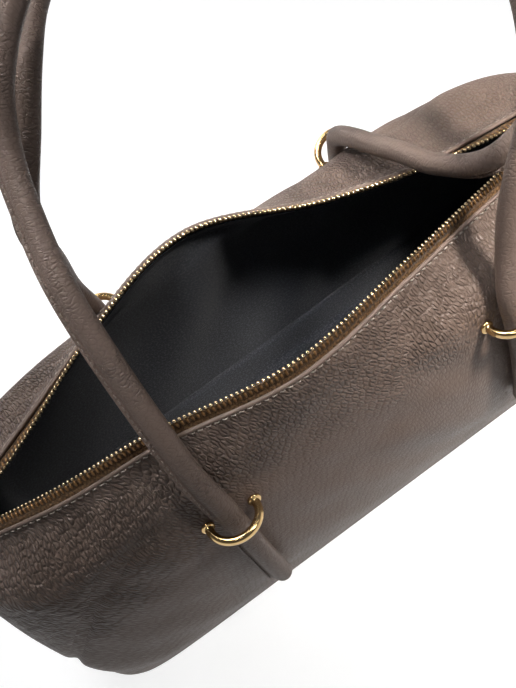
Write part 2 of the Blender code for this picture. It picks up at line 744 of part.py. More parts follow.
def make_slider(finish):
    """Two shield-shaped plates, the wedge that parts the teeth, and the bridge for the pull."""
    half, tail = SLIDER_WIDTH / 2, SLIDER_TAIL_WIDTH / 2
    length = SLIDER_LENGTH / 2
    outline = ((-length, -half * 0.8), (-length * 0.6, -half), (length, -tail), (length, tail),
               (-length * 0.6, half), (-length, half * 0.8))
    height = SLIDER_CHANNEL / 2
    body = prism("slider_body", outline, height, SLIDER_PLATE, finish)
    lower = hidden(prism("slider_lower_plate", outline, -height - SLIDER_PLATE, SLIDER_PLATE, finish))
    start = -length
    wedge_outline = ((start, -WEDGE_WIDTH / 2), (start + WEDGE_LENGTH, 0), (start, WEDGE_WIDTH / 2))
    sunk = SLIDER_PLATE / 2
    wedge = hidden(prism("slider_wedge", wedge_outline, -height - sunk, SLIDER_CHANNEL + 2 * sunk, finish))
    top = height + SLIDER_PLATE
    arch = []
    for angle in np.linspace(math.pi, 0, 7):
        x = BRIDGE_LENGTH / 2 * math.cos(angle)
        z = top - sunk + (BRIDGE_HEIGHT - BRIDGE_BAR / 2 + sunk) * math.sin(angle)
        radial = unit(np.array([math.cos(angle), 0.0, math.sin(angle)]))
        arch.append(circle_ring(np.array([x, 0.0, z]), radial, np.array([0.0, 1.0, 0.0]), BRIDGE_BAR / 2, 6))
    bridge = hidden(tube_of_rings("slider_bridge", np.array(arch), finish))
    place = Vector(zip_middle(slider_place()))
    for item in (body, lower, wedge, bridge):
        item.location = place
    for extra in (wedge, lower, bridge):
        cut(body, extra, "UNION")
    return body


def pull_axis():
    """Line that the pull turns about: under the bridge, on top of the slider."""
    top = SLIDER_CHANNEL / 2 + SLIDER_PLATE + SEAM_GAP + PULL_THICKNESS / 2
    return zip_middle(slider_place()) + np.array([0.0, 0.0, top])


def make_pull(finish):
    """Flat tapered tab. Its eye goes round the slider's bridge."""
    bar = PULL_THICKNESS / 2
    half = PULL_WIDTH / 2
    neck = half * 0.7
    far = PULL_LENGTH - bar
    outline = [(-bar, -neck), (far - half, -half), (far - half * 0.3, -half * 0.75), (far, 0),
               (far - half * 0.3, half * 0.75), (far - half, half), (-bar, neck)]
    pull = prism("slider_pull", outline, -bar, PULL_THICKNESS, finish)
    eye_outline = [(bar, -PULL_EYE_WIDTH / 2), (bar + PULL_EYE_LENGTH, -PULL_EYE_WIDTH / 2),
                   (bar + PULL_EYE_LENGTH, PULL_EYE_WIDTH / 2), (bar, PULL_EYE_WIDTH / 2)]
    eye = hidden(prism("pull_eye", eye_outline, -PULL_THICKNESS, 2 * PULL_THICKNESS, finish))
    eye.parent = pull
    pull.location = Vector(pull_axis())
    pull.rotation_euler = (0.0, -PULL_REST_ANGLE, 0.0)
    cut(pull, eye)
    return pull


def make_stops(finish):
    """Clamps past the last teeth: one across both tapes, and one on each tape at the far end."""
    middle = slider_place() + SLIDER_LENGTH / 2 + 2 * SEAM_GAP + STOP_LENGTH / 2
    place = np.array([middle / (MOUTH_LENGTH / 2)])
    front, back = zip_line(FRONT, place)[0], zip_line(BACK, place)[0]
    width = back[1] - front[1] + 2 * STOP_DEPTH_SHARE * TOOTH_DEPTH
    box_body("zip_bottom_stop", (front + back) / 2, (STOP_LENGTH, width, STOP_HEIGHT), finish)
    last = TEETH_START_SHARE - TOOTH_GAP / (MOUTH_LENGTH / 2)
    places = np.array([last, last - STOP_LENGTH / (MOUTH_LENGTH / 2)])
    for side in (FRONT, BACK):
        line = zip_line(side, places)
        down, face = tape_axes(side, places)
        rings = np.stack(
            [
                line + TOOTH_DEPTH * down + STOP_HEIGHT / 2 * face,
                line + STOP_HEIGHT / 2 * face,
                line - STOP_HEIGHT / 2 * face,
                line + TOOTH_DEPTH * down - STOP_HEIGHT / 2 * face,
            ],
            axis=1,
        )
        tube_of_rings(f"zip_top_stop_{SIDE_NAMES[side]}", rings, finish, smooth=False)


def main():
    clear_scene()
    leather = material("taupe_leather", (0.215, 0.175, 0.150), 0.55)
    base_leather = material("base_leather", (0.180, 0.145, 0.125), 0.60)
    cotton = material("navy_cotton", (0.016, 0.018, 0.028), 0.90)
    board = material("fibre_board", (0.230, 0.180, 0.120), 0.90)
    tape = material("tan_tape", (0.270, 0.160, 0.075), 0.85)
    gold = material("pale_gold", (0.780, 0.620, 0.380), 0.22, 1.0)
    plate = material("plate_steel", (0.450, 0.450, 0.450), 0.40, 1.0)

    make_base_panel(base_leather)
    board_bottom = LEATHER + SEAM_GAP
    make_plate_on_base("base_board", BASE_ROLL, board_bottom, BOARD, board)
    lining_bottom = board_bottom + BOARD + SEAM_GAP
    make_plate_on_base("base_lining", BASE_ROLL, lining_bottom, LINING, cotton)
    for side in (FRONT, BACK):
        panel = make_panel(side, leather)
        make_lining(side, cotton)
        make_tape(side, tape)
        make_teeth(side, gold)
        for end in (LEFT, RIGHT):
            make_half_ring(side, end, gold)
            ring_plate = make_ring_plate(side, end, plate)
            make_ring_holes(side, end, panel, ring_plate)
            make_handle_end(side, end, leather)
        make_handle(side, leather)
    make_slider(gold)
    make_pull(gold)
    make_stops(gold)


main()
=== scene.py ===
"""Looks of the leather handbag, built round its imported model.

Metres, +Z up. X runs along the bag, the front faces -Y, and the bag stands on Z = 0.
The walls, zip and handles repeat the part's own formulas, so every piece lies on its solid.
"""

import math

import bpy
import numpy as np
from bpy.props import FloatProperty, FloatVectorProperty, PointerProperty
from mathutils import Matrix, Vector


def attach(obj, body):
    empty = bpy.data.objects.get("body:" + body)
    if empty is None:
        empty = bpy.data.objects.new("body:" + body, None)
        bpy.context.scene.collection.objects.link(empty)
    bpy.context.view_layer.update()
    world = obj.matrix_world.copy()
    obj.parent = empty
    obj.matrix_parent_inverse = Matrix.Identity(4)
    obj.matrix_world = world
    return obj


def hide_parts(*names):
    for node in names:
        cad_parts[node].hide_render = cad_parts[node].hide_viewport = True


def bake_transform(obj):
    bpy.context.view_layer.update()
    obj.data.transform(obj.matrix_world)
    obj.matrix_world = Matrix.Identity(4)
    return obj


bl_info = {
    "name": "Leather Handbag",
    "version": (1, 0, 0),
    "blender": (4, 5, 0),
    "location": "View3D > Sidebar > Handbag",
    "description": "Leather walls, open zip, cotton lining, half rings and rolled handles of a soft handbag",
    "category": "Add Mesh",
}

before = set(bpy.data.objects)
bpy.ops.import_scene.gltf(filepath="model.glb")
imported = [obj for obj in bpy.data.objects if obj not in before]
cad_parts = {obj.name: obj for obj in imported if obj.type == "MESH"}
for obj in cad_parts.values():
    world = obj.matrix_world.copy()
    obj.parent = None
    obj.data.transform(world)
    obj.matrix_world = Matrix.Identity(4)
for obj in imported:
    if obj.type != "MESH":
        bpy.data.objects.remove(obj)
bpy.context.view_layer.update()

FRONT, BACK = -1, 1
LEFT, RIGHT = -1, 1
SIDE_NAMES = {FRONT: "front", BACK: "back"}
END_NAMES = {LEFT: "left", RIGHT: "right"}
WALL_COLUMNS = 480
WALL_ROWS = 220
WALLS = {}

# Body, as in the part
BASE_LENGTH = 0.388
BASE_DEPTH = 0.132
BASE_ROLL = 0.0065
BASE_POWER = 13.0
BELLY_LENGTH = 0.400
BELLY_SHIFT = -0.006
BELLY_DEPTH = 0.134
BELLY_POWER = 3.6
BELLY_MID_HEIGHT = 0.136
BELLY_END_HEIGHT = 0.132
BASE_LEAN = 0.28
BELLY_LEAN = 0.26
LEATHER = 0.0018
SEAM_GAP = 0.0003

# Mouth, as in the part. Each lip has its greatest reach and rise, and shares of them at the places
MOUTH_LENGTH = 0.390
MOUTH_END_HEIGHT = 0.146
MOUTH_PLACES = (-1.0, -0.75, -0.45, -0.10, 0.25, 0.60, 0.80, 0.88, 0.95, 1.0)
LIP_REACH = {
    FRONT: (0.0487, (0.0, 0.400, 0.700, 1.0, 0.745, 0.386, 0.180, 0.092, 0.040, 0.0)),
    BACK: (0.0549, (0.0, 0.311, 0.756, 1.0, 0.450, 0.120, 0.016, 0.002, 0.020, 0.0)),
}
LIP_RISE = {
    FRONT: (0.0333, (0.0, 0.520, 0.934, 1.0, 0.778, 0.381, 0.165, 0.074, 0.033, 0.0)),
    BACK: (0.0223, (0.0, 0.345, 0.767, 1.0, 0.690, 0.345, 0.175, 0.110, 0.050, 0.0)),
}
LIP_MID_SLOPE = math.radians(58.0)
LIP_END_SLOPE = math.radians(6.0)
LIP_FLAT = 0.86
LIP_STEEP = 0.45
EDGE_SLOPE = math.radians(58.0)

# Zip, as in the part
TAPE_SHOW = 0.0062
TAPE = 0.0006
TAPE_SEAT = 0.0008
TOOTH_PITCH = 0.00254
TEETH_START = -0.915
TEETH_END = 0.866

# Half rings, as in the part
RING_SPACING = 0.162
RING_FEET = 0.0249
RING_WIRE = 0.0043
RING_LEG = 0.0034
RING_DROP = 0.0045

# Handles, as in the part
TUBE_RADIUS = 0.0054
TUBE_SEAT = 0.0006
TAIL_LENGTH = 0.080
RING_RISE = 0.0025
KNUCKLE_SLOPES = {FRONT: math.radians(72.0), BACK: math.radians(78.0)}
KNUCKLE_GAP = 0.0008
HANDLE_REACH = 0.184
FRONT_HANDLE_TURNS = (
    (-0.452, 0.037, 0.075), (-0.451, 0.143, 0.230), (-0.429, 0.396, 0.504), (-0.398, 0.548, 0.586),
    (-0.351, 0.670, 0.677), (-0.264, 0.724, 0.815), (-0.082, 0.768, 0.950), (0.217, 0.757, 0.993),
    (0.543, 0.703, 0.896), (0.761, 0.567, 0.722), (0.788, 0.377, 0.559), (0.679, 0.187, 0.396),
    (0.571, 0.116, 0.276), (0.516, 0.083, 0.178), (0.478, 0.045, 0.075),
)
BACK_HANDLE_TURNS = (
    (-0.451, 0.004, 0.087), (-0.435, -0.022, 0.256), (-0.418, -0.049, 0.441), (-0.291, -0.024, 0.647),
    (-0.196, 0.054, 0.740), (-0.109, 0.141, 0.789), (0.043, 0.239, 0.821), (0.272, 0.299, 0.816),
    (0.560, 0.255, 0.751), (0.777, 0.136, 0.653), (0.902, -0.082, 0.539), (0.913, -0.310, 0.419),
    (0.815, -0.489, 0.299), (0.679, -0.527, 0.223), (0.587, -0.505, 0.180), (0.511, -0.397, 0.142),
    (0.484, -0.288, 0.120), (0.465, -0.190, 0.085), (0.451, -0.098, 0.052),
)


# Sizes and colours that a user may change

def length(name, description, default, least, most):
    """A size that a user may change."""
    return FloatProperty(name=name, description=description, default=default, min=least, max=most,
                         unit="LENGTH", precision=5)


def tint(name, description, default):
    """A colour that a user may change."""
    return FloatVectorProperty(name=name, description=description, default=default, min=0.0, max=1.0,
                               size=3, subtype="COLOR")


class BagSizes(bpy.types.PropertyGroup):
    """Sizes of the trim and of the soft shapes of the bag"""

    fold_puff: length("Fold Puff", "How far the turned edge of the leather stands up beside the zip",
                      0.00055, 0.0, 0.0015)
    stitch_inset: length("Stitch Inset", "Distance from the turned edge to the line of stitches",
                         0.0022, 0.002, 0.008)
    stitch_pitch: length("Stitch Pitch", "Distance from one stitch to the next", 0.0040, 0.002, 0.008)
    thread: length("Thread", "Thickness of the sewing thread", 0.00075, 0.0003, 0.0015)
    wall_sag: length("Wall Sag", "Depth of the soft dents in the leather walls", 0.0011, 0.0, 0.004)
    lining_slack: length("Lining Slack", "How far the lining hangs in from the walls", 0.0042, 0.0, 0.008)
    flange_width: length("Handle Flange", "Width of the stitched seam along the handles",
                         0.0026, 0.001, 0.004)
    flange_thickness: length("Flange Thickness", "Thickness of the stitched seam along the handles",
                             0.0022, 0.001, 0.004)


class BagColours(bpy.types.PropertyGroup):
    """Colours of the bag and of the place it stands"""

    leather: tint("Leather", "Taupe leather of the walls and handles", (0.208, 0.148, 0.119))
    # Painted shade: the colour that the leather's creases, valleys and row of stitches are darkened towards,
    # where shade falls
    leather_crease_shade: tint("Leather Crease Shade", "Painted shade of the leather down in its creases", (0.082, 0.054, 0.042))
    edge_paint: tint("Edge Paint", "Paint on the cut edges of the leather", (0.085, 0.062, 0.053))
    thread: tint("Thread", "Sewing thread", (0.500, 0.420, 0.360))
    cotton: tint("Lining Cotton", "Dark cotton of the lining", (0.017, 0.019, 0.027))
    tape: tint("Zip Tape", "Woven tape of the zip", (0.250, 0.125, 0.050))
    gold: tint("Pale Gold", "Polished metal of the zip and rings", (0.820, 0.570, 0.275))
    floor: tint("Floor", "Pale floor under the bag", (0.360, 0.360, 0.365))


def sizes():
    return bpy.context.scene.handbag_sizes


def colours():
    return bpy.context.scene.handbag_colours


# Shapes worked out on whole arrays of points

def unit(vectors):
    return vectors / np.linalg.norm(vectors, axis=-1, keepdims=True)


def stack(x, y, z):
    return np.stack(np.broadcast_arrays(np.asarray(x, float), y, z), axis=-1)


def running_length(points):
    steps = np.linalg.norm(np.diff(points, axis=0), axis=-1)
    return np.concatenate([np.zeros((1,) + steps.shape[1:]), np.cumsum(steps, axis=0)])


def ease(values):
    """Smooth step: 3 t squared less 2 t cubed, with t kept between 0 and 1."""
    t = np.clip(values, 0, 1)
    return t * t * (3 - 2 * t)


def bell(values, width):
    """Bell: e to the minus square of the value over the width."""
    return np.exp(-((values / width) ** 2))


def cubic(start, end, leave, arrive, t):
    """Cubic from start to end as t goes from 0 to 1, with its slopes there."""
    return ((2 * t**3 - 3 * t**2 + 1) * start + (t**3 - 2 * t**2 + t) * leave
            + (-2 * t**3 + 3 * t**2) * end + (t**3 - t**2) * arrive)


def smooth_through(places, values, at):
    """Cubic curve through the table's points, read at the places asked for."""
    places, values = np.asarray(places, float), np.asarray(values, float)
    slopes = np.gradient(values, places)
    index = np.clip(np.searchsorted(places, at, side="right") - 1, 0, len(places) - 2)
    step = places[index + 1] - places[index]
    return cubic(values[index], values[index + 1], step * slopes[index], step * slopes[index + 1],
                 (at - places[index]) / step)


def read_along(run, points, wanted):
    """Points at the wanted distances along a line, on the straight lines between its own."""
    return np.column_stack([np.interp(wanted, run, numbers) for numbers in points.T])


def around(turns, first, second):
    """The cosine of each turn times the first direction, plus its sine times the second."""
    turns = np.asarray(turns)[..., None]
    return np.cos(turns) * first[..., None, :] + np.sin(turns) * second[..., None, :]


def square_to(ways, vectors):
    """The vectors made square to the ways, one metre long."""
    return unit(vectors - (vectors * ways).sum(axis=-1, keepdims=True) * ways)


def half_outline(places, length, depth, power):
    """Half a superellipse: x = a cos(t)^(2/p), y = b sin(t)^(2/p), read at even shares of its length."""
    turns = np.linspace(math.pi, 0, 1441)
    x = length / 2 * np.sign(np.cos(turns)) * np.abs(np.cos(turns)) ** (2 / power)
    y = depth / 2 * np.abs(np.sin(turns)) ** (2 / power)
    run = running_length(np.column_stack([x, y]))
    wanted = (places + 1) / 2 * run[-1]
    return np.interp(wanted, run, x), np.interp(wanted, run, y)


def lip_slope(places):
    """Slope of the tape: steep in the middle of the mouth, nearly flat at its ends."""
    share = ease((np.abs(places) - LIP_STEEP) / (LIP_FLAT - LIP_STEEP))
    return LIP_MID_SLOPE + (LIP_END_SLOPE - LIP_MID_SLOPE) * share


def zip_line(side, places):
    """Line of the tooth tips: straight in x, with reach and rise on cubics through their tables."""
    reach, rise = (most * smooth_through(MOUTH_PLACES, shares, places)
                   for most, shares in (LIP_REACH[side], LIP_RISE[side]))
    return stack(MOUTH_LENGTH / 2 * places, side * reach, MOUTH_END_HEIGHT + rise)


def tape_axes(side, places):
    """Directions down the tape, away from the teeth, and out of its face."""
    slope = lip_slope(places)
    down = stack(0 * places, side * np.cos(slope), -np.sin(slope))
    face = stack(0 * places, side * np.sin(slope), np.cos(slope))
    return down, face


def leather_edge(side, places):
    """Zip line, moved down the tape by its bare width and out by the leather on top of it."""
    down, _ = tape_axes(side, places)
    facing = stack(0 * places, side * math.sin(EDGE_SLOPE), math.cos(EDGE_SLOPE))
    closing = (np.clip(1 - np.abs(places) ** 24, 0, 1) ** 0.5)[:, None]
    lift = LEATHER + TAPE_SEAT + TAPE / 2
    return zip_line(side, places) + closing * (TAPE_SHOW * down + lift * facing)


def hermite(start, end, leave, arrive, t):
    """Cubic from start to end, with its tangents there given as directions."""
    size = np.linalg.norm(end - start, axis=-1, keepdims=True)
    return cubic(start, end, size * leave, size * arrive, t)


def wall_knots(side, places):
    """Foot, belly and edge of the wall at each place, with the wall's direction there."""
    along, out = half_outline(places, BASE_LENGTH, BASE_DEPTH, BASE_POWER)
    foot = stack(along, side * out, BASE_ROLL + SEAM_GAP)
    along, out = half_outline(places, BELLY_LENGTH, BELLY_DEPTH, BELLY_POWER)
    along = along + BELLY_SHIFT
    height = BELLY_MID_HEIGHT - (BELLY_MID_HEIGHT - BELLY_END_HEIGHT) * np.abs(places) ** 3
    belly = stack(along, side * out, height)
    facing = unit(stack(-side * np.gradient(belly[:, 1]), side * np.gradient(belly[:, 0]), 0.0))
    facing[[0, -1]] = ((-1.0, 0.0, 0.0), (1.0, 0.0, 0.0))
    up = np.array([0.0, 0.0, 1.0])
    over = np.array([0.0, -side * math.cos(EDGE_SLOPE), math.sin(EDGE_SLOPE)])
    turned = (np.abs(places) ** 8)[:, None]
    edge_way = unit(over * (1 - turned) + up * turned)
    foot_way = unit(up + BASE_LEAN * facing)
    belly_way = unit(up - BELLY_LEAN * facing)
    return foot, belly, leather_edge(side, places), foot_way, belly_way, edge_way


def build_wall(side):
    """Two cubics up each column, foot to belly and belly to edge, read at even shares of their length."""
    places = np.linspace(-1, 1, WALL_COLUMNS + 1)
    foot, belly, edge, foot_way, belly_way, edge_way = wall_knots(side, places)
    steps = np.linspace(0, 1, 81)[:, None, None]
    lower = hermite(foot, belly, foot_way, belly_way, steps)
    upper = hermite(belly, edge, belly_way, edge_way, np.linspace(0, 1, 61)[1:, None, None])
    fine = np.concatenate([lower, upper])
    run = running_length(fine)
    wanted = np.linspace(0, 1, WALL_ROWS + 1)[:, None] * run[-1]
    index = np.clip((run[None, :, :] <= wanted[:, None, :]).sum(axis=1) - 1, 0, len(run) - 2)
    column = np.arange(len(places))[None, :]
    share = ((wanted - run[index, column]) / (run[index + 1, column] - run[index, column]))[..., None]
    grid = np.swapaxes(fine[index, column] * (1 - share) + fine[index + 1, column] * share, 0, 1)
    normals = unit(np.cross(np.gradient(grid, axis=0), np.gradient(grid, axis=1))) * (-side)
    normals[[0, -1], :, 1] = 0.0
    return places, grid, unit(normals), run[-1], run[len(lower) - 1] / run[-1], belly


def wall(side):
    """The wall's grid and its measures, worked out once for each side."""
    if side not in WALLS:
        WALLS[side] = build_wall(side)
    return WALLS[side]


def on_wall(side, at_places, at_shares, depth=0.0):
    """Points below the wall's outer face and the normals there, read from its grid by straight lines."""
    places, grid, normals, *_ = wall(side)
    at_places, at_shares = np.broadcast_arrays(at_places, at_shares)
    i = np.interp(at_places, places, np.arange(len(places)))
    j = np.clip(at_shares, 0, 1) * WALL_ROWS
    i0, j0 = np.minimum(i.astype(int), len(places) - 2), np.minimum(j.astype(int), WALL_ROWS - 1)
    a, b = (i - i0)[..., None], (j - j0)[..., None]

    def read(field):
        low = field[i0, j0] * (1 - a) + field[i0 + 1, j0] * a
        high = field[i0, j0 + 1] * (1 - a) + field[i0 + 1, j0 + 1] * a
        return low * (1 - b) + high * b

    facing = unit(read(normals))
    return read(grid) - np.asarray(depth)[..., None] * facing, facing


def wall_lengths(side, at_places):
    """Length of the wall from its foot to its edge at each place."""
    places, _, _, lengths, *_ = wall(side)
    return np.interp(at_places, places, lengths)


def belly_length(side, at_places):
    """Distance along the belly from its left end, in metres, which the leather's pattern runs on."""
    places, _, _, _, _, belly = wall(side)
    return np.interp(at_places, places, running_length(belly))


def ring_seat(side, end):
    """Place and share on the wall of a ring's middle."""
    places, _, _, _, belly_shares, belly = wall(side)
    place = np.interp(end * RING_SPACING / 2, belly[:, 0], places)
    drop = RING_DROP / wall_lengths(side, place)
    return place, np.interp(place, places, belly_shares) - drop


def ring_frame(side, end):
    """Seat of a half ring on the belly: its point, and the directions along, out and up there."""
    place, share = ring_seat(side, end)
    point, out = on_wall(side, place, share)
    nudge = 1 / 360
    along = on_wall(side, place + nudge, share)[0] - on_wall(side, place - nudge, share)[0]
    along = square_to(out, along)
    return point, along, out, np.cross(along, out) * side


def ring_center(side, end):
    """Middle of the handle tube where it passes through the ring, and the way up along it."""
    point, _, out, up = ring_frame(side, end)
    flat = np.array([0.0, 1.0, 1.0])
    out = unit(out * flat)
    up = unit(up * flat)
    return point + (TUBE_RADIUS + TUBE_SEAT) * out, out, up


def hinge_point(side, end):
    """Middle of the handle on its hinge, past the joint with its sewn end."""
    center, _, up = ring_center(side, end)
    slope = KNUCKLE_SLOPES[side]
    knuckle = np.array([0.0, -side * math.cos(slope), math.sin(slope)])
    return center + RING_RISE * up + (2 * TUBE_RADIUS + KNUCKLE_GAP) * knuckle


def spline(points, count):
    """Cubic through points on the root of their chords, evenly spaced along its length."""
    points = np.asarray(points)
    chords = np.sqrt(np.linalg.norm(np.diff(points, axis=0), axis=-1))
    knots = np.concatenate([[0.0], np.cumsum(chords)])
    fine = np.linspace(0, knots[-1], 3000)
    curve = np.column_stack([smooth_through(knots, numbers, fine) for numbers in points.T])
    run = running_length(curve)
    return read_along(run, curve, np.linspace(0, run[-1], count))


def waves(across, along, seed, sizes_of_waves):
    """Sum of sines of random direction and phase: one for each wavelength, weighted by its root."""
    chance = np.random.default_rng(seed)
    total = 0 * across
    weight = 0.0
    for size in sizes_of_waves:
        turn, phase = chance.uniform(0, 2 * math.pi, 2)
        total = total + size**0.5 * np.sin(
            2 * math.pi * (across * math.cos(turn) + along * math.sin(turn)) / size + phase)
        weight += size
    return total / weight**0.5


# Meshes

def closed(rings):
    """Rings with their first point again at the end."""
    return np.concatenate([rings, rings[:, :1]], axis=1)


def grid_quads(ids):
    """Quads between neighbours in a grid of point numbers."""
    return np.stack([ids[:-1, :-1], ids[1:, :-1], ids[1:, 1:], ids[:-1, 1:]], axis=-1).reshape(-1, 4)


def volume_of(points, faces):
    """Signed volume: a sixth of the sum of triple products over triangles fanned from each first corner."""
    a = points[faces[:, 0]]
    total = np.einsum("ij,ij->i", a, np.cross(points[faces[:, 1]], points[faces[:, 2]])).sum()
    if faces.shape[1] == 4:
        total += np.einsum("ij,ij->i", a, np.cross(points[faces[:, 2]], points[faces[:, 3]])).sum()
    return total / 6


def solid(name, points, face_sets, finish, charts=None):
    """A piece from points and sets of faces. Faces are turned out together if their volume is negative."""
    points = np.ascontiguousarray(points, float)
    if sum(volume_of(points, faces) for faces in face_sets) < 0:
        face_sets = [faces[:, ::-1] for faces in face_sets]
        charts = None if charts is None else [chart[:, ::-1] for chart in charts]
    mesh = bpy.data.meshes.new(name)
    counts = np.concatenate([np.full(len(faces), faces.shape[1]) for faces in face_sets])
    starts = np.concatenate([[0], np.cumsum(counts)[:-1]])
    corners = np.concatenate([faces.ravel() for faces in face_sets])
    mesh.vertices.add(len(points))
    mesh.vertices.foreach_set("co", points.ravel())
    mesh.loops.add(len(corners))
    mesh.loops.foreach_set("vertex_index", corners.astype(np.int32))
    mesh.polygons.add(len(counts))
    mesh.polygons.foreach_set("loop_start", starts.astype(np.int32))
    mesh.polygons.foreach_set("loop_total", counts.astype(np.int32))
    mesh.update(calc_edges=True)
    if charts is not None:
        layer = mesh.uv_layers.new(name="surface")
        layer.data.foreach_set("uv", np.concatenate([chart.ravel() for chart in charts]))
    mesh.validate()
    mesh.shade_smooth()
    mesh.materials.append(finish)
    piece = bpy.data.objects.new(name, mesh)
    bpy.context.scene.collection.objects.link(piece)
    return piece


def sheet_piece(name, outer, inner, chart, finish):
    """Closed sheet: an outer and an inner grid of one size, with a strip of quads round their rim."""
    rows, columns, _ = outer.shape
    top = np.arange(rows * columns).reshape(rows, columns)
    under = top + top.size
    rim = [np.concatenate([g[:-1, 0], g[-1, :-1], g[:0:-1, -1], g[0, :0:-1]]) for g in (top, under)]
    rim_quads = np.stack([rim[0], rim[1], np.roll(rim[1], -1), np.roll(rim[0], -1)], axis=-1)
    faces = np.concatenate([grid_quads(top), grid_quads(under)[:, ::-1], rim_quads])
    both = np.tile(chart.reshape(-1, 2), (2, 1))
    points = np.concatenate([outer.reshape(-1, 3), inner.reshape(-1, 3)])
    return solid(name, points, [faces], finish, [both[faces]])


def skin_faces(rows, count):
    """Faces of a closed skin through rings of points: quads between the rings, and a fan of triangles
    over each end. The fans' middles are numbered after all the rings."""
    ids = closed(np.arange(rows * count).reshape(rows, count))
    fans = [np.stack([np.full(count, ids.max() + 1 + place), ring[:-1], ring[1:]], axis=-1)
            for place, ring in enumerate((ids[0], ids[-1, ::-1]))]
    return grid_quads(ids), np.concatenate(fans)


def tube_piece(name, rings, chart, finish):
    """Closed skin through rings of points, with a fan over each end. chart has one column more."""
    rows, count, _ = rings.shape
    places = np.arange(rows * (count + 1)).reshape(rows, count + 1)
    fans = np.concatenate([np.stack([ring[:-1], ring[:-1], ring[1:]], axis=-1)
                           for ring in (places[0], places[-1, ::-1])])
    flat = chart.reshape(-1, 2)
    points = np.concatenate([rings.reshape(-1, 3), rings[[0, -1]].mean(axis=1)])
    return solid(name, points, skin_faces(rows, count), finish, [flat[grid_quads(places)], flat[fans]])


def repeated_piece(name, rings, finish, lengths=None):
    """Many small closed skins as one mesh. rings is pieces x rows x around x 3, and lengths gives each
    row's place on the chart."""
    pieces, rows, count, _ = rings.shape
    points = np.concatenate([rings.reshape(pieces, -1, 3), rings[:, [0, -1]].mean(axis=2)], axis=1)
    shift = (np.arange(pieces) * points.shape[1])[:, None, None]
    face_sets = [(faces + shift).reshape(-1, faces.shape[1]) for faces in skin_faces(rows, count)]
    charts = None
    if lengths is not None:
        rise = np.tile(np.concatenate([np.repeat(lengths, count), lengths[[0, -1]]]), pieces)
        charts = [np.column_stack([0 * rise, rise])[faces] for faces in face_sets]
    return solid(name, points.reshape(-1, 3), face_sets, finish, charts)


# Materials: sums on sockets, and one way to add any node

class Amount:
    """A number in a material. Sums on it add the Math nodes for them."""

    def __init__(self, paint, socket):
        self.paint = paint
        self.socket = socket

    def math(self, operation, *others):
        return self.paint.add("ShaderNodeMath", {"operation": operation}, (self, *others))

    def __add__(self, other):
        return self.math("ADD", other)

    __radd__ = __add__

    def __sub__(self, other):
        return self.math("SUBTRACT", other)

    def __rsub__(self, other):
        return self.paint.add("ShaderNodeMath", {"operation": "SUBTRACT"}, (other, self))

    def __mul__(self, other):
        return self.math("MULTIPLY", other)

    __rmul__ = __mul__

    def sine(self):
        return self.math("SINE")

    def low(self, other):
        return self.math("MINIMUM", other)

    def high(self, other):
        return self.math("MAXIMUM", other)

    def clipped(self):
        """Kept between 0 and 1."""
        return self.high(0.0).low(1.0)

    def away_from(self, other):
        """The difference without its sign."""
        return (self - other).math("ABSOLUTE")

    def between(self, start, end):
        """0 up to start, 1 from end, and a smooth step in between."""
        return self.paint.add(
            "ShaderNodeMapRange", {"interpolation_type": "SMOOTHSTEP"},
            {"Value": self, "From Min": start, "From Max": end}, "Result")


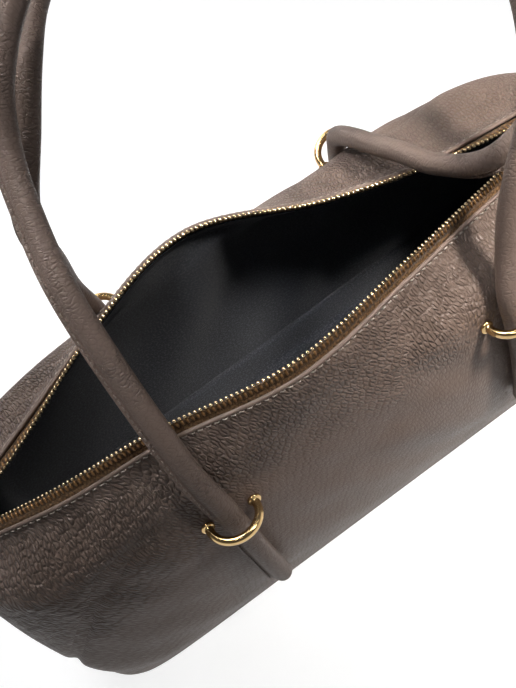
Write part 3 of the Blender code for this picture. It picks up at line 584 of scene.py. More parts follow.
class Nodes:
    """Adds nodes to one tree, and links them."""

    def __init__(self, owner):
        owner.use_nodes = True
        self.made = owner
        self.tree = owner.node_tree

    def put(self, socket, value):
        if isinstance(value, Amount):
            self.tree.links.new(value.socket, socket)
        elif socket.type == "RGBA":
            socket.default_value = (*value, 1.0)
        else:
            socket.default_value = value

    def add(self, kind, settings=None, values=(), output=0):
        """Adds a node: its type, its settings, then values or links for its sockets by name or place."""
        node = self.tree.nodes.new(kind)
        for name, value in (settings or {}).items():
            setattr(node, name, value)
        for key, value in values.items() if isinstance(values, dict) else enumerate(values):
            self.put(node.inputs[key], value)
        return Amount(self, node.outputs[output])

    def surface(self):
        """The piece's own chart, in metres along and across it."""
        return self.add("ShaderNodeUVMap", {"uv_map": "surface"})

    def object_place(self, scale=(1.0, 1.0, 1.0)):
        where = self.add("ShaderNodeTexCoord", output="Object")
        return self.add("ShaderNodeMapping", {"vector_type": "POINT"}, {"Vector": where, "Scale": scale})

    def drawn_out(self, where, turn, stretch):
        """where, on a chart whose patterns come out stretch times as long in the direction of turn."""
        return self.add("ShaderNodeMapping", {"vector_type": "TEXTURE"},
                        {"Vector": where, "Rotation": (0.0, 0.0, turn), "Scale": (stretch, 1.0, 1.0)})

    def parts(self, where):
        """The numbers of a vector."""
        node = self.tree.nodes.new("ShaderNodeSeparateXYZ")
        self.put(node.inputs[0], where)
        return [Amount(self, socket) for socket in node.outputs]

    def flat_place(self, along, across):
        """A vector from two numbers."""
        return self.add("ShaderNodeCombineXYZ", values=(along, across))

    def noise(self, where, scale, detail=3.0, roughness=0.5, flat=False, output=0):
        """Cloudy noise with so many clouds in a metre."""
        return self.add("ShaderNodeTexNoise", {"noise_dimensions": "2D" if flat else "3D"},
                        {"Vector": where, "Scale": scale, "Detail": detail, "Roughness": roughness}, output)

    def noise_shift(self, where, scale, amount, flat=False):
        """where, pushed about by coloured noise of the given size."""
        spread = self.noise(where, scale, 2.0, flat=flat, output=1)
        centred = self.add("ShaderNodeVectorMath", {"operation": "SUBTRACT"}, (spread, (0.5, 0.5, 0.5)))
        pushed = self.add("ShaderNodeVectorMath", {"operation": "SCALE"},
                          {"Vector": centred, "Scale": amount})
        return self.add("ShaderNodeVectorMath", {"operation": "ADD"}, (where, pushed))

    def cells(self, where, scale, feature="F1", randomness=1.0):
        """Distance in a flat pattern of cells: from their middles, or from their borders."""
        return self.add("ShaderNodeTexVoronoi", {"voronoi_dimensions": "2D", "feature": feature},
                        {"Vector": where, "Scale": scale, "Randomness": randomness}, "Distance")

    def one_of(self, output):
        """1 for rays of that kind: seen by the camera, or in a gloss."""
        return self.add("ShaderNodeLightPath", output=output)

    def blend(self, share, first, second):
        """Colour from first to second by share."""
        return self.add("ShaderNodeMix", {"data_type": "RGBA"}, {"Factor": share, 6: first, 7: second}, 2)

    def bump(self, height, distance, strength=1.0):
        """Normals tilted by a height whose full span is the distance."""
        values = {"Strength": strength, "Distance": distance, "Height": height}
        return self.add("ShaderNodeBump", values=values)


class Finish(Nodes):
    """One material: its nodes, and the shader that they feed."""

    def __init__(self, name, preview):
        super().__init__(bpy.data.materials.new(name))
        self.made.diffuse_color = (*preview, 1.0)
        self.shader = self.tree.nodes["Principled BSDF"]

    def done(self, **sockets):
        """Sets the shader's sockets, named with _ for a space, and gives the material."""
        for name, value in sockets.items():
            self.put(self.shader.inputs[name.replace("_", " ").title().replace("Ior", "IOR")], value)
        return self.made


BLACK = (0.0, 0.0, 0.0)


def mixed(colour, other, share):
    """The colour moved towards the other by share."""
    return tuple(a * (1 - share) + b * share for a, b in zip(colour, other))


def darker(colour, share):
    return mixed(colour, BLACK, share)


# The leather's pattern: the directions that its creases are drawn in, in degrees down from the mouth's
# line, with the step from one to the next and the width of the change, then how many pebbles, ripples and
# pores lie in a metre, how much longer than wide they are, and the depth of their relief
CREASE_WAYS = (46.0, 80.0, 114.0, 148.0)
CREASE_STEP = 34.0
CREASE_BLEND = 3.0
PEBBLES, RIPPLES, PORES = 510.0, 430.0, 1000.0
PEBBLE_DRAW, RIPPLE_DRAW = 2.2, 3.6
PEBBLE_RELIEF = 0.00110
TUBE_PEBBLES, TUBE_FOLDS = 560.0, 310.0
TUBE_RELIEF = 0.00050
WEAVE_PITCH = 0.00062
RIB_PITCH = 0.00075
RIB_BAND = 0.0016


def crease_way(run, depth):
    """Direction of the creases in degrees: aslant at the left end and steeper lower down, flatter towards
    the middle, then straight down further right and back, more so lower on the wall."""
    inwards = run.between(0.08, 0.17)
    to_right = run.between(0.235, 0.345)
    upper = depth.between(0.001, 0.026)
    lower = depth.between(0.005, 0.085)
    return 58 - inwards * 12 + upper * (1 - inwards) * 28 + to_right * (54 + lower * 62)


def crease_pattern(paint, loose, way):
    """Pebbles and ripples drawn out along the way: one flat pattern for each crease direction, each shown
    where the way is nearest to it."""
    pebbles, folds = 0.0, 0.0
    for turn in CREASE_WAYS:
        share = (CREASE_STEP / 2 - way.away_from(turn)).between(-CREASE_BLEND, CREASE_BLEND)
        rows = paint.drawn_out(loose, math.radians(-turn), PEBBLE_DRAW)
        border = paint.cells(rows, PEBBLES, "DISTANCE_TO_EDGE", 0.72)
        pebbles = pebbles + border.between(0.0, 0.32) * share
        rows = paint.drawn_out(loose, math.radians(-turn), RIPPLE_DRAW)
        folds = folds + paint.noise(rows, RIPPLES, 1.0, flat=True).between(0.36, 0.64) * share
    return pebbles, folds


def pebbled_leather(name, colour, creases):
    """Full-grain leather: pebbles drawn out along the creases, with thin valleys between them, boldest at
    the mouth and the left end. Painted shade darkens the valleys. The turned edge is stretched smooth, with a
    painted shade line along the row of stitches. The wall's chart leans towards its left end, so it is set
    square before the pattern is laid on it."""
    paint = Finish(name, colour)
    chart = paint.surface()
    run, rise, _ = paint.parts(chart)
    depth = rise * -1.0
    slant = (1 - run.between(0.08, 0.28)) * 0.68
    square = paint.flat_place(run + rise * slant, rise * (1 - slant * 0.40))
    loose = paint.noise_shift(square, 70.0, 0.0022, True)
    loose = paint.noise_shift(loose, 300.0, 0.0007, True)
    way = crease_way(run, depth) + (paint.noise(chart, 26.0, 2.0, flat=True) - 0.5) * 10
    pebbles, folds = crease_pattern(paint, loose, way)
    pores = paint.cells(loose, PORES)
    broad = paint.noise(chart, 55.0, flat=True)
    patches = paint.noise(chart, 14.0, 3.0, 0.55, True)
    left = 1 - run.between(0.085, 0.175)
    bold = 1 - (depth - left * 0.060 - (patches - 0.5) * 0.05).between(0.022, 0.062)
    bold = bold * (0.55 + broad.between(0.36, 0.60) * 0.45) * (1 - run.between(0.19, 0.27) * 0.42)
    plain = depth.between(0.0014, 0.0030)
    height = pebbles * (0.12 + bold * 1.05) + folds * (0.05 + bold * 0.40) - pores * (0.14 - bold * 0.08)
    height = (height + (broad - 0.5) * 0.9) * plain
    # Painted shade: the valleys between pebbles and ripples are darkened towards the crease colour
    valley_shade = ((1 - pebbles) * (0.14 + bold * 0.42) + (1 - folds) * bold * 0.14) * plain
    base = paint.blend((valley_shade + (broad - 0.5) * 0.3).clipped(), colour, creases)
    warm = mixed(colour, (0.30, 0.20, 0.15), 0.5)
    base = paint.blend(patches.between(0.38, 0.72) * 0.30, base, warm)
    # Painted shade along the groove of the row of stitches
    off_shaded_row = depth.away_from(0.0022).between(0.00015, 0.00065)
    base = paint.blend((1 - off_shaded_row) * 0.55, base, creases)
    rough = 0.48 - plain * (0.11 - (1 - pebbles) * 0.14) + (broad - 0.5) * 0.10
    normal = paint.bump(height, PEBBLE_RELIEF)
    return paint.done(base_color=base, roughness=rough, normal=normal, specular_ior_level=0.38)


def smooth_leather(name, colour, creases):
    """Leather drawn round a cord: flat pebbles, and creases across the tube where it bends. Painted shade
    darkens the valleys between the pebbles and the creases.
    """
    paint = Finish(name, colour)
    chart = paint.surface()
    loose = paint.noise_shift(chart, 260.0, 0.0018, True)
    rows = paint.drawn_out(loose, math.radians(102), 1.9)
    pebbles = paint.cells(rows, TUBE_PEBBLES, "DISTANCE_TO_EDGE", 0.95).between(0.01, 0.22)
    rows = paint.drawn_out(loose, math.radians(84), 3.2)
    folds = 1 - paint.noise(rows, TUBE_FOLDS, 2.0, flat=True).away_from(0.5).between(0.0, 0.075)
    patches = paint.noise(chart, 30.0, flat=True)
    bold = patches.between(0.42, 0.66)
    height = pebbles * (0.25 + bold * 0.30) - folds * (0.10 + bold * 0.50) + (patches - 0.5) * 0.8
    # Painted shade in the valleys between the pebbles and in the creases
    valley_shade = (1 - pebbles) * 0.16 + folds * (0.04 + bold * 0.16)
    base = paint.blend((valley_shade + (patches - 0.5) * 0.3).clipped(), colour, creases)
    return paint.done(base_color=base, roughness=0.42 + (1 - pebbles) * 0.12, specular_ior_level=0.38,
                      normal=paint.bump(height, TUBE_RELIEF))


def painted_edge(name, colour):
    """Thick edge paint: satin, slightly uneven."""
    paint = Finish(name, colour)
    uneven = paint.noise(paint.object_place(), 260.0)
    return paint.done(base_color=paint.blend(uneven * 0.4, colour, darker(colour, 0.4)),
                      roughness=0.42 + (uneven - 0.5) * 0.15, normal=paint.bump(uneven, 0.0002, 0.5))


def spun_thread(name, colour):
    """Thread: two plies that wind along it, fuzzy and matt."""
    paint = Finish(name, colour)
    plies = paint.noise(paint.object_place(), 2400.0, 2.0)
    base = paint.blend(plies.between(0.35, 0.65), darker(colour, 0.35), colour)
    return paint.done(base_color=base, roughness=0.75, normal=paint.bump(plies, 0.0002, 0.7),
                      sheen_weight=0.3, sheen_roughness=0.5)


def woven_cotton(name, colour):
    """Plain weave: warp and weft as two sines over the cloth's chart, with slubs and pale flecks."""
    paint = Finish(name, colour)
    where = paint.surface()
    across, along, _ = paint.parts(paint.noise_shift(where, 60.0, 0.0006))
    turns = 2 * math.pi / WEAVE_PITCH
    weave = (across * turns).sine() * (along * turns).sine()
    slubs = paint.noise(where, 900.0, 2.0)
    patches = paint.noise(where, 22.0)
    fleck = paint.noise(where, 800.0, 2.0).between(0.46, 0.66)
    light = mixed(colour, (0.55, 0.57, 0.62), 0.06)
    base = paint.blend(weave * 0.25 + 0.3 + (patches - 0.5) * 0.5, colour, light)
    base = paint.blend(fleck * 0.60, base, (0.125, 0.132, 0.155))
    normal = paint.bump(weave * 0.5 + slubs, 0.00022, 0.8)
    return paint.done(base_color=base, roughness=0.92, normal=normal, sheen_weight=0.25,
                      sheen_roughness=0.6, specular_ior_level=0.2)


def zip_cloth(name, colour):
    """Herringbone tape: slanted ribs whose slant turns over at each band, with painted shade down between the
    teeth.
    """
    paint = Finish(name, colour)
    where = paint.surface()
    along, across, _ = paint.parts(where)
    band = (across * (math.pi / RIB_BAND)).sine().math("SIGN")
    turns = 2 * math.pi / RIB_PITCH
    ribs = (along * turns + band * across * turns).sine()
    fuzz = paint.noise(where, 850.0, 2.0, 0.6)
    light = (ribs * 0.25 + 0.45 + (fuzz - 0.5) * 4.0).clipped()
    base = paint.blend(light, darker(colour, 0.72), mixed(colour, (0.9, 0.6, 0.3), 0.12))
    # Painted shade: the tape is darkened down between the teeth, where they shade it
    shaded = paint.blend(0.55, base, (0.020, 0.010, 0.005))
    base = paint.blend(across.between(0.0040, 0.0052), shaded, base)
    normal = paint.bump(ribs * 0.4 + fuzz * 1.2, 0.00045, 0.9)
    return paint.done(base_color=base, roughness=0.62, normal=normal, specular_ior_level=0.30,
                      sheen_weight=0.10, sheen_roughness=0.4)


def tooth_gold(name, colour):
    """Plated teeth: bright on their noses and heads. Further back, down to where they grip the tape, painted
    shade darkens them to brown, most of all at the neck, and they are rougher there.
    """
    paint = Finish(name, colour)
    reach = paint.parts(paint.surface())[1]
    hair = paint.noise(paint.object_place(), 1800.0, 2.0)
    past_nose_shade_and_rough = reach.between(0.00085, 0.00135)
    neck = past_nose_shade_and_rough * (1 - reach.between(0.00150, 0.00210))
    # Painted shade: brown from behind the nose back to the legs, and near black at the neck
    base = paint.blend(past_nose_shade_and_rough * 0.90 + (hair - 0.5) * 0.2, colour, (0.270, 0.130, 0.045))
    base = paint.blend(neck * 0.75, base, (0.050, 0.022, 0.008))
    return paint.done(base_color=base, metallic=1.0, roughness=0.20 + past_nose_shade_and_rough * 0.22,
                      normal=paint.bump(hair, 0.00005, 0.4))


def polished_gold(name, colour):
    """Plated metal: hairline wear in its polish and a little tarnish in patches."""
    paint = Finish(name, colour)
    hair = paint.noise(paint.object_place((400.0, 90.0, 1400.0)), 1.0, 2.0)
    patches = paint.noise(paint.object_place(), 90.0)
    tarnish = mixed(colour, (0.42, 0.24, 0.08), 0.45)
    base = paint.blend(patches.between(0.35, 0.75) * 0.35, colour, tarnish)
    rough = 0.16 + (hair - 0.5) * 0.10 + patches.between(0.5, 0.8) * 0.08
    return paint.done(base_color=base, metallic=1.0, roughness=rough, normal=paint.bump(hair, 0.00003, 0.25))


def plain_board(name, colour):
    """Pressed fibre board: short flecks."""
    paint = Finish(name, colour)
    flecks = paint.noise(paint.object_place((1.0, 1.0, 0.2)), 500.0, 3.0, 0.7)
    base = paint.blend(flecks.between(0.3, 0.7), darker(colour, 0.35), colour)
    return paint.done(base_color=base, roughness=0.9, normal=paint.bump(flecks, 0.0003, 0.6))


def brushed_plate(name, colour):
    """Plain steel strip: fine lines along it."""
    paint = Finish(name, colour)
    lines = paint.noise(paint.object_place((60.0, 1500.0, 1500.0)), 1.0)
    return paint.done(base_color=colour, metallic=1.0, roughness=0.36 + (lines - 0.5) * 0.25,
                      normal=paint.bump(lines, 0.00004, 0.4))


def finish_of(name):
    """The bag's material of that name, made the first time it is asked for."""
    if name in bpy.data.materials:
        return bpy.data.materials[name]
    own = colours()
    maker, *tints = {
        "Taupe Leather": (pebbled_leather, own.leather, own.leather_crease_shade),
        "Base Leather": (pebbled_leather, darker(own.leather, 0.12), own.leather_crease_shade),
        "Handle Leather": (smooth_leather, own.leather, own.leather_crease_shade),
        "Edge Paint": (painted_edge, own.edge_paint),
        "Taupe Thread": (spun_thread, own.thread),
        "Handle Thread": (spun_thread, mixed(own.leather, own.thread, 0.25)),
        "Navy Cotton": (woven_cotton, own.cotton),
        "Tan Tape": (zip_cloth, own.tape),
        "Pale Gold": (polished_gold, own.gold),
        "Tooth Gold": (tooth_gold, mixed(own.gold, (0.95, 0.80, 0.55), 0.5)),
        "Fibre Board": (plain_board, (0.230, 0.180, 0.120)),
        "Plate Steel": (brushed_plate, (0.450, 0.450, 0.450)),
    }[name]
    return maker(name, *tints)


def seat(piece, body, slot, *nodes):
    """The piece rides on a body and stands for its nodes, which are hidden. The slot is not used."""
    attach(piece, body)
    if nodes:
        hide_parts(*nodes)


# Walls

# Sag of each wall: the seed of its waves, and their lengths. It is kept away from the rings.
SAG_SEEDS = {FRONT: 11, BACK: 23}
SAG_WAVES = (0.031, 0.047, 0.068, 0.093, 0.140)
CALM_REACH = 0.020
# Dents: how far along and down the wall each lies, its length and width, and its depth
DENTS = ((0.246, 0.066, 0.030, 0.014, 0.0013), (0.150, 0.074, 0.034, 0.007, 0.0009),
         (0.315, 0.052, 0.040, 0.010, 0.0008), (0.200, 0.030, 0.045, 0.009, 0.0006))
# Soft valley down to the corner, creases beside the handle ends, and the seam in each end
VALLEY_DEPTH, VALLEY_WIDTH = 0.0026, 0.0070
PUCKER_HEIGHT, PUCKER_PITCH = 0.00032, 0.0034
END_SEAM_DEPTH, END_SEAM_WIDTH = 0.0009, 0.0016


def near_rings(side, points):
    """1 beside the rings and the handle ends below them, and a bell of the distance away from them."""
    share = np.zeros(points.shape[:-1])
    for end in (LEFT, RIGHT):
        away = points - ring_frame(side, end)[0]
        below = np.clip(-away[..., 2], 0, TAIL_LENGTH)
        far = np.sqrt(away[..., 0] ** 2 + (away[..., 2] + below) ** 2)
        share = np.maximum(share, bell(far, CALM_REACH))
    return share


def slack_valleys(run, depth):
    """Long soft valleys of slack leather: one bell across a curve that turns down to the corner, and two
    bells, along and across, for each dent."""
    curve = 0.044 + 12.0 * np.clip(0.13 - run, 0, None) ** 2
    share = ease((run - 0.030) / 0.030) * ease((0.215 - run) / 0.050)
    fall = VALLEY_DEPTH * share * bell(depth - curve, VALLEY_WIDTH)
    for at, down, long, wide, amount in DENTS:
        aslant = depth - down + 0.25 * (run - at)
        fall = fall + amount * bell(run - at, long) * bell(aslant, wide)
    return fall


def tail_puckers(side, points):
    """Short creases square to each handle end: sines a stitch apart, fading away from the tube's sides."""
    total = np.zeros(points.shape[:-1])
    for end in (LEFT, RIGHT):
        ring = ring_frame(side, end)[0]
        beside = np.abs(points[..., 0] - ring[0]) - TUBE_RADIUS
        below = ring[2] - points[..., 2]
        share = ease((beside + 0.001) / 0.002) * np.exp(-np.clip(beside, 0, None) / 0.0038)
        share = share * ease((below - 0.006) / 0.006) * ease((TAIL_LENGTH + 0.004 - below) / 0.006)
        turns = below * (2 * math.pi / PUCKER_PITCH) + 9.0 * np.sin(points[..., 0] / 0.004)
        total = total + share * (np.sin(turns) - 0.6)
    return PUCKER_HEIGHT * total


def edge_fold(from_edge, inset):
    """Section of the turned edge: half a sine over a slope up to the edge, a groove along the row of
    stitches, and a low swell past it."""
    share = np.clip(from_edge / inset, 0, 1)
    fold = np.sin(math.pi * share) * 0.8 + (1 - share) * 0.5
    swell = 0.45 * bell(from_edge - inset - 0.0026, 0.0018)
    groove = 0.55 * bell(from_edge - inset, 0.0006)
    return fold + swell - groove


def wall_relief(side, places, from_edge, points):
    """Height over the plain wall: waves of leather sag, the turned edge, the slack valleys, the puckers and
    the end seams."""
    size = sizes()
    run = belly_length(side, places)
    height = points[..., 2]
    from_corner = 1 - np.abs(places)
    over_base = ease((height - BASE_ROLL) / 0.030)
    rings = near_rings(side, points)
    sag = waves(run, height, SAG_SEEDS[side], SAG_WAVES)
    calm = ease((from_edge - 0.010) / 0.030) * over_base * (1 - rings) * ease(from_corner / 0.06)
    slack = slack_valleys(run if side == FRONT else run.max() - run, from_edge)
    slack = slack * over_base * (1 - rings * 0.7)
    seam = bell(from_corner * 0.26, END_SEAM_WIDTH)
    return (size.wall_sag * sag * calm - slack + tail_puckers(side, points)
            + size.fold_puff * edge_fold(from_edge, size.stitch_inset) - END_SEAM_DEPTH * seam)


def wall_rows(side, places):
    """Distances from the edge for each row of the wall: even up the wall, closer together at the turned
    edge."""
    lengths = wall_lengths(side, places)[:, None]
    close = np.concatenate([np.linspace(0.016, 0.0045, 14), np.linspace(0.0042, 0.0012, 13)])
    even = np.linspace(0, 1, 120)[:-1]
    return np.concatenate([lengths - (lengths - close[0]) * even, np.tile(close, (len(places), 1))], axis=1)


# Place from which the columns of a wall stand closer together, up to its end
CORNER = 0.94


def kept_apart(grid, side, gap):
    """Moves points that come too near the middle of the bag out to the gap."""
    grid[..., 1] = side * np.maximum(side * grid[..., 1], gap)


def make_wall(side, finish):
    """Wall sheet: the part's wall plus its relief. Along the mouth a half oval joins its faces, as thick as
    the leather there, and reaches the part's own edge."""
    corner = np.linspace(CORNER, 1, 25)[1:]
    places = np.concatenate([-corner[::-1], np.linspace(-CORNER, CORNER, 400), corner])
    rows = wall_rows(side, places)
    plain, facing = on_wall(side, places[:, None], 1 - rows / wall_lengths(side, places)[:, None])
    height = wall_relief(side, places[:, None] + 0 * rows, rows, plain)
    outer = plain + height[..., None] * facing
    inner = plain - LEATHER * facing
    forward = leather_edge(side, places) - plain[:, -1]
    out = facing[:, -1] * ((LEATHER + height[:, -1:]) / 2)
    middle = (outer[:, -1:] + inner[:, -1:]) / 2
    turns = np.linspace(0, math.pi / 2, 7)[1:]
    outer = np.concatenate([outer, middle + around(turns, out, forward)], axis=1)
    inner = np.concatenate([inner, middle + around(math.pi - turns, out, forward)], axis=1)
    for grid in (outer, inner):
        kept_apart(grid, side, SEAM_GAP / 2)
    along = belly_length(side, places)[:, None] + np.zeros(outer.shape[:2])
    up = np.concatenate([-rows, -rows[:, -1:] + 0.0002 * np.arange(1, 7)], axis=1)
    return sheet_piece(f"{SIDE_NAMES[side]}_wall", outer, inner, np.stack([along, up], axis=-1), finish)


def full_outline(inset):
    """Base outline all the way round: the front half, then the back half the other way."""
    places = np.linspace(-1, 1, 240)
    along, out = half_outline(places, BASE_LENGTH - 2 * inset, BASE_DEPTH - 2 * inset, BASE_POWER)
    front = np.column_stack([along, -out])
    back = np.column_stack([along, out])[-2:0:-1]
    return np.concatenate([front, back])


def level_rings(insets, heights):
    """Outlines drawn in by each inset, at each height."""
    return np.stack([np.insert(full_outline(inset), 2, height, axis=1)
                     for inset, height in zip(insets, heights)])


def flat_chart(rings):
    """The chart of a flat piece: its x, and its y plus its height."""
    x, y, z = np.moveaxis(closed(rings), -1, 0)
    return np.stack([x, y + np.abs(z)], axis=-1)


def ring_chart(centers, across):
    """The chart of a tube: the distance along its middle, and across it the given values."""
    run = running_length(centers)[:, None]
    return np.stack(np.broadcast_arrays(run, across[None, :]), axis=-1)


def make_base(finish):
    """Tray: a quarter round from the flat underside up to the walls, outside and inside."""
    turns = np.linspace(0, math.pi / 2, 10)
    inner_roll = BASE_ROLL - LEATHER
    flat = np.array([0.030, 0.020, 0.012])
    insets = np.concatenate([flat, BASE_ROLL - inner_roll * np.cos(turns[::-1]),
                             BASE_ROLL * (1 - np.cos(turns)), flat[::-1]])
    heights = np.concatenate([np.full(3, LEATHER), BASE_ROLL - inner_roll * np.sin(turns[::-1]),
                              BASE_ROLL * (1 - np.sin(turns)), np.zeros(3)])
    rings = level_rings(insets, heights)
    return tube_piece("base_leather_tray", rings, flat_chart(rings), finish)


WELT_RADIUS = 0.0011
WELT_SINK = 0.0013


def make_end_welt(end, finish):
    """Welt sewn in between the walls at one end: a circle carried up the end seam, just under the
    leather's face, from the base to the mouth."""
    shares = np.linspace(0.015, 0.985, 90)
    (front, out), (back, _) = (on_wall(side, end * 1.0, shares, WELT_SINK) for side in (FRONT, BACK))
    centers = (front + back) / 2
    out = unit(out * [1.0, 0.0, 1.0])
    across = np.array([0.0, 1.0, 0.0])
    rings = centers[:, None] + WELT_RADIUS * around(np.arange(10) * math.pi / 5, out, across)
    chart = ring_chart(centers, np.linspace(-0.004, -0.011, 11))
    return tube_piece(f"end_welt_{END_NAMES[end]}", rings, chart, finish)


# Lining

CLOTH = 0.0006
LINING_FOOT, LINING_TOP = 0.0035, 0.0062
LINING_SEEDS = {FRONT: 5, BACK: 8}
LINING_WAVES = (0.024, 0.037, 0.060, 0.095)


def make_lining_wall(side, finish):
    """Cloth sheet behind the wall. It hangs in by the slack, most at mid height, and ends under the tape."""
    places = np.linspace(-0.994, 0.994, 260)
    lengths = wall_lengths(side, places)[:, None]
    shares = np.linspace(0, 1, 70)[None, :]
    rows = LINING_FOOT + (lengths - LINING_TOP - LINING_FOOT) * shares
    run = belly_length(side, places)[:, None]
    folds = waves(run + 0 * rows, rows * 0.35, LINING_SEEDS[side], LINING_WAVES)
    belly = np.sin(math.pi * shares) ** 0.7 * ease((1 - np.abs(places[:, None])) / 0.10)
    room = 0.0030 - 0.0010 * np.abs(places[:, None]) ** 6
    depth = LEATHER + room + sizes().lining_slack * belly * (0.8 + 0.55 * folds)
    depth = depth - (room - 0.0018) * ease((shares - 0.93) / 0.07)
    outer, facing = on_wall(side, places[:, None], rows / lengths, depth)
    top_down, top_face = tape_axes(side, places)
    tucked = zip_line(side, places) + 0.0046 * top_down - 0.0010 * top_face
    bridge = np.linspace(0, 1, 8)[None, 1:, None]
    rise = outer[:, -1:] * (1 - bridge) + tucked[:, None, :] * bridge
    outer = np.concatenate([outer, rise], axis=1)
    facing = np.concatenate([facing, np.broadcast_to(facing[:, -1:], rise.shape)], axis=1)
    inner = outer - CLOTH * facing
    for grid in (outer, inner):
        kept_apart(grid, side, SEAM_GAP)
    up = np.concatenate([rows, rows[:, -1:] + 0.0008 * np.arange(1, 8)], axis=1)
    chart = np.stack([np.broadcast_to(run, up.shape), up], axis=-1)
    return sheet_piece(f"{SIDE_NAMES[side]}_lining_cloth", outer, inner, chart, finish)


def make_lining_floor(finish):
    """Cloth over the board: flat with a slow ripple, and turned up at its rim."""
    flat = np.array([0.060, 0.050, 0.040, 0.030, 0.022, 0.016, 0.012])
    insets = np.concatenate([flat, [0.010, 0.0088, 0.0080, 0.0068, 0.0052, 0.0034]])
    tops = np.concatenate([0 * flat + 0.0052, [0.0058, 0.0072, 0.0100, 0.0140, 0.0190, 0.0240]])
    over = level_rings(insets, tops)
    over[..., 2] += 0.0005 + 0.0005 * waves(over[..., 0], over[..., 1], 31, (0.04, 0.07, 0.11))
    under = level_rings(insets[::-1] - CLOTH, tops[::-1])
    under[..., 2] -= 0.0005
    rings = np.concatenate([over, under])
    return tube_piece("floor_lining_cloth", rings, flat_chart(rings), finish)


# Zip

BEAD_RADIUS = 0.00085
BEAD_REACH = 0.0022


def make_tape(side, finish):
    """Tape section carried along the zip line: a round bead inside the teeth, then a flat strip that
    goes under the leather's edge. Past the last teeth the bead comes in to the middle of the mouth."""
    places = np.linspace(-0.984, 0.984, 700)
    down, face = tape_axes(side, places)
    line = zip_line(side, places)
    past = np.maximum(ease((places - TEETH_END) / 0.02), ease((TEETH_START - places) / 0.02))[:, None]
    bead_reach = BEAD_REACH * (1 - past) + past * 0.0003
    line = line + past * stack(0.0, -line[:, 1], 0.0) * 0.9
    under = LEATHER + TAPE_SEAT + TAPE / 2
    edge, edge_face = on_wall(side, places, 1.0, under)
    tucked, tucked_face = on_wall(side, places, 1 - 0.0036 / wall_lengths(side, places), under)
    bead = line + bead_reach * down
    start = line + (bead_reach + 0.0009) * down
    spans = np.linspace(0, 1, 8)[None, :, None]
    flat = start[:, None] * (1 - spans) + edge[:, None] * spans
    facing = unit(face[:, None] * (1 - spans) + edge_face[:, None] * spans)
    rows = np.concatenate([flat, tucked[:, None]], axis=1)
    facing = np.concatenate([facing, tucked_face[:, None]], axis=1)
    turns = np.linspace(math.pi, 0.45, 7)
    upper, lower = (bead[:, None] + BEAD_RADIUS * around(way * turns, down, face) for way in (1, -1))
    outer = np.concatenate([upper, rows + TAPE / 2 * facing], axis=1)
    inner = np.concatenate([lower, rows - TAPE / 2 * facing], axis=1)
    run = running_length(line)[:, None] + np.zeros(outer.shape[:2])
    across = running_length(np.swapaxes(outer, 0, 1)).T
    chart = np.stack([run, across], axis=-1)
    return sheet_piece(f"{SIDE_NAMES[side]}_tape_cloth", outer, inner, chart, finish)


def zip_places(side, start, end, pitch):
    """Places one pitch apart along the zip line."""
    fine = np.linspace(start, end, 2401)
    run = running_length(zip_line(side, fine))
    return np.interp(np.arange(pitch / 2, run[-1], pitch), run, fine)


# Tooth: distance from its nose, half width and half height, in millimetres, from its legs to its nose
TOOTH = ((4.40, 0.36, 0.60), (3.70, 0.60, 0.96), (2.90, 0.70, 1.14), (2.10, 0.66, 1.18), (1.60, 0.46, 0.80),
         (1.15, 0.48, 0.60), (0.70, 0.78, 1.10), (0.20, 0.68, 0.92), (0.00, 0.38, 0.50))


def make_teeth(side, finish):
    """Row of cast teeth. Each is a bar with an eight-sided rounded section, as wide and tall as the table
    says: a small nose, a neck, and a body whose legs lie on the tape."""
    places = zip_places(side, TEETH_START, TEETH_END, TOOTH_PITCH)
    if side == BACK:
        places = places[:-1] * 0.5 + places[1:] * 0.5
    down, face = tape_axes(side, places)
    nudge = 0.002
    along = unit(zip_line(side, places + nudge) - zip_line(side, places - nudge))
    reach, wide, tall = np.array(TOOTH).T * 0.001
    turns = np.arange(8) * math.pi / 4 + math.pi / 8
    across, upward = (np.sign(way) * np.abs(way) ** 0.7 / 0.92 for way in (np.cos(turns), np.sin(turns)))
    centers = zip_line(side, places)[:, None] + reach[:, None] * down[:, None]
    rings = (centers[:, :, None] + (wide[:, None] * across)[..., None] * along[:, None, None]
             + (tall[:, None] * upward)[..., None] * face[:, None, None])
    return repeated_piece(f"{SIDE_NAMES[side]}_teeth", rings, finish, reach)


# A stitch's share of its pitch on the walls and on the handles, and the handles' share of the walls' pitch
WALL_STITCH, HANDLE_STITCH, HANDLE_PITCH = 0.60, 0.66, 0.82
# Stitch: share of its length, height over the leather and half thickness, both in threads
STITCH = ((-0.02, -1.1, 0.25), (0.0, -0.7, 0.425), (0.10, 0.25, 0.5), (0.30, 0.55, 0.5), (0.50, 0.62, 0.5),
          (0.70, 0.55, 0.5), (0.90, 0.25, 0.5), (1.0, -0.7, 0.425), (1.02, -1.1, 0.25))


def bent_stitches(name, starts, ends, facing, thickness, finish):
    """Stitches as round threads: each goes from start to end on a low arch, and dives at both ends."""
    shares, lift, slim = np.array(STITCH).T[:, :, None]
    side = np.cross(unit(ends - starts), facing)
    centers = starts[:, None] + shares * (ends - starts)[:, None] + lift * thickness * facing[:, None]
    ring = around(np.arange(6) * math.pi / 3, side, facing)
    rings = centers[:, :, None] + slim[..., None] * thickness * ring[:, None]
    return repeated_piece(name, rings, finish)


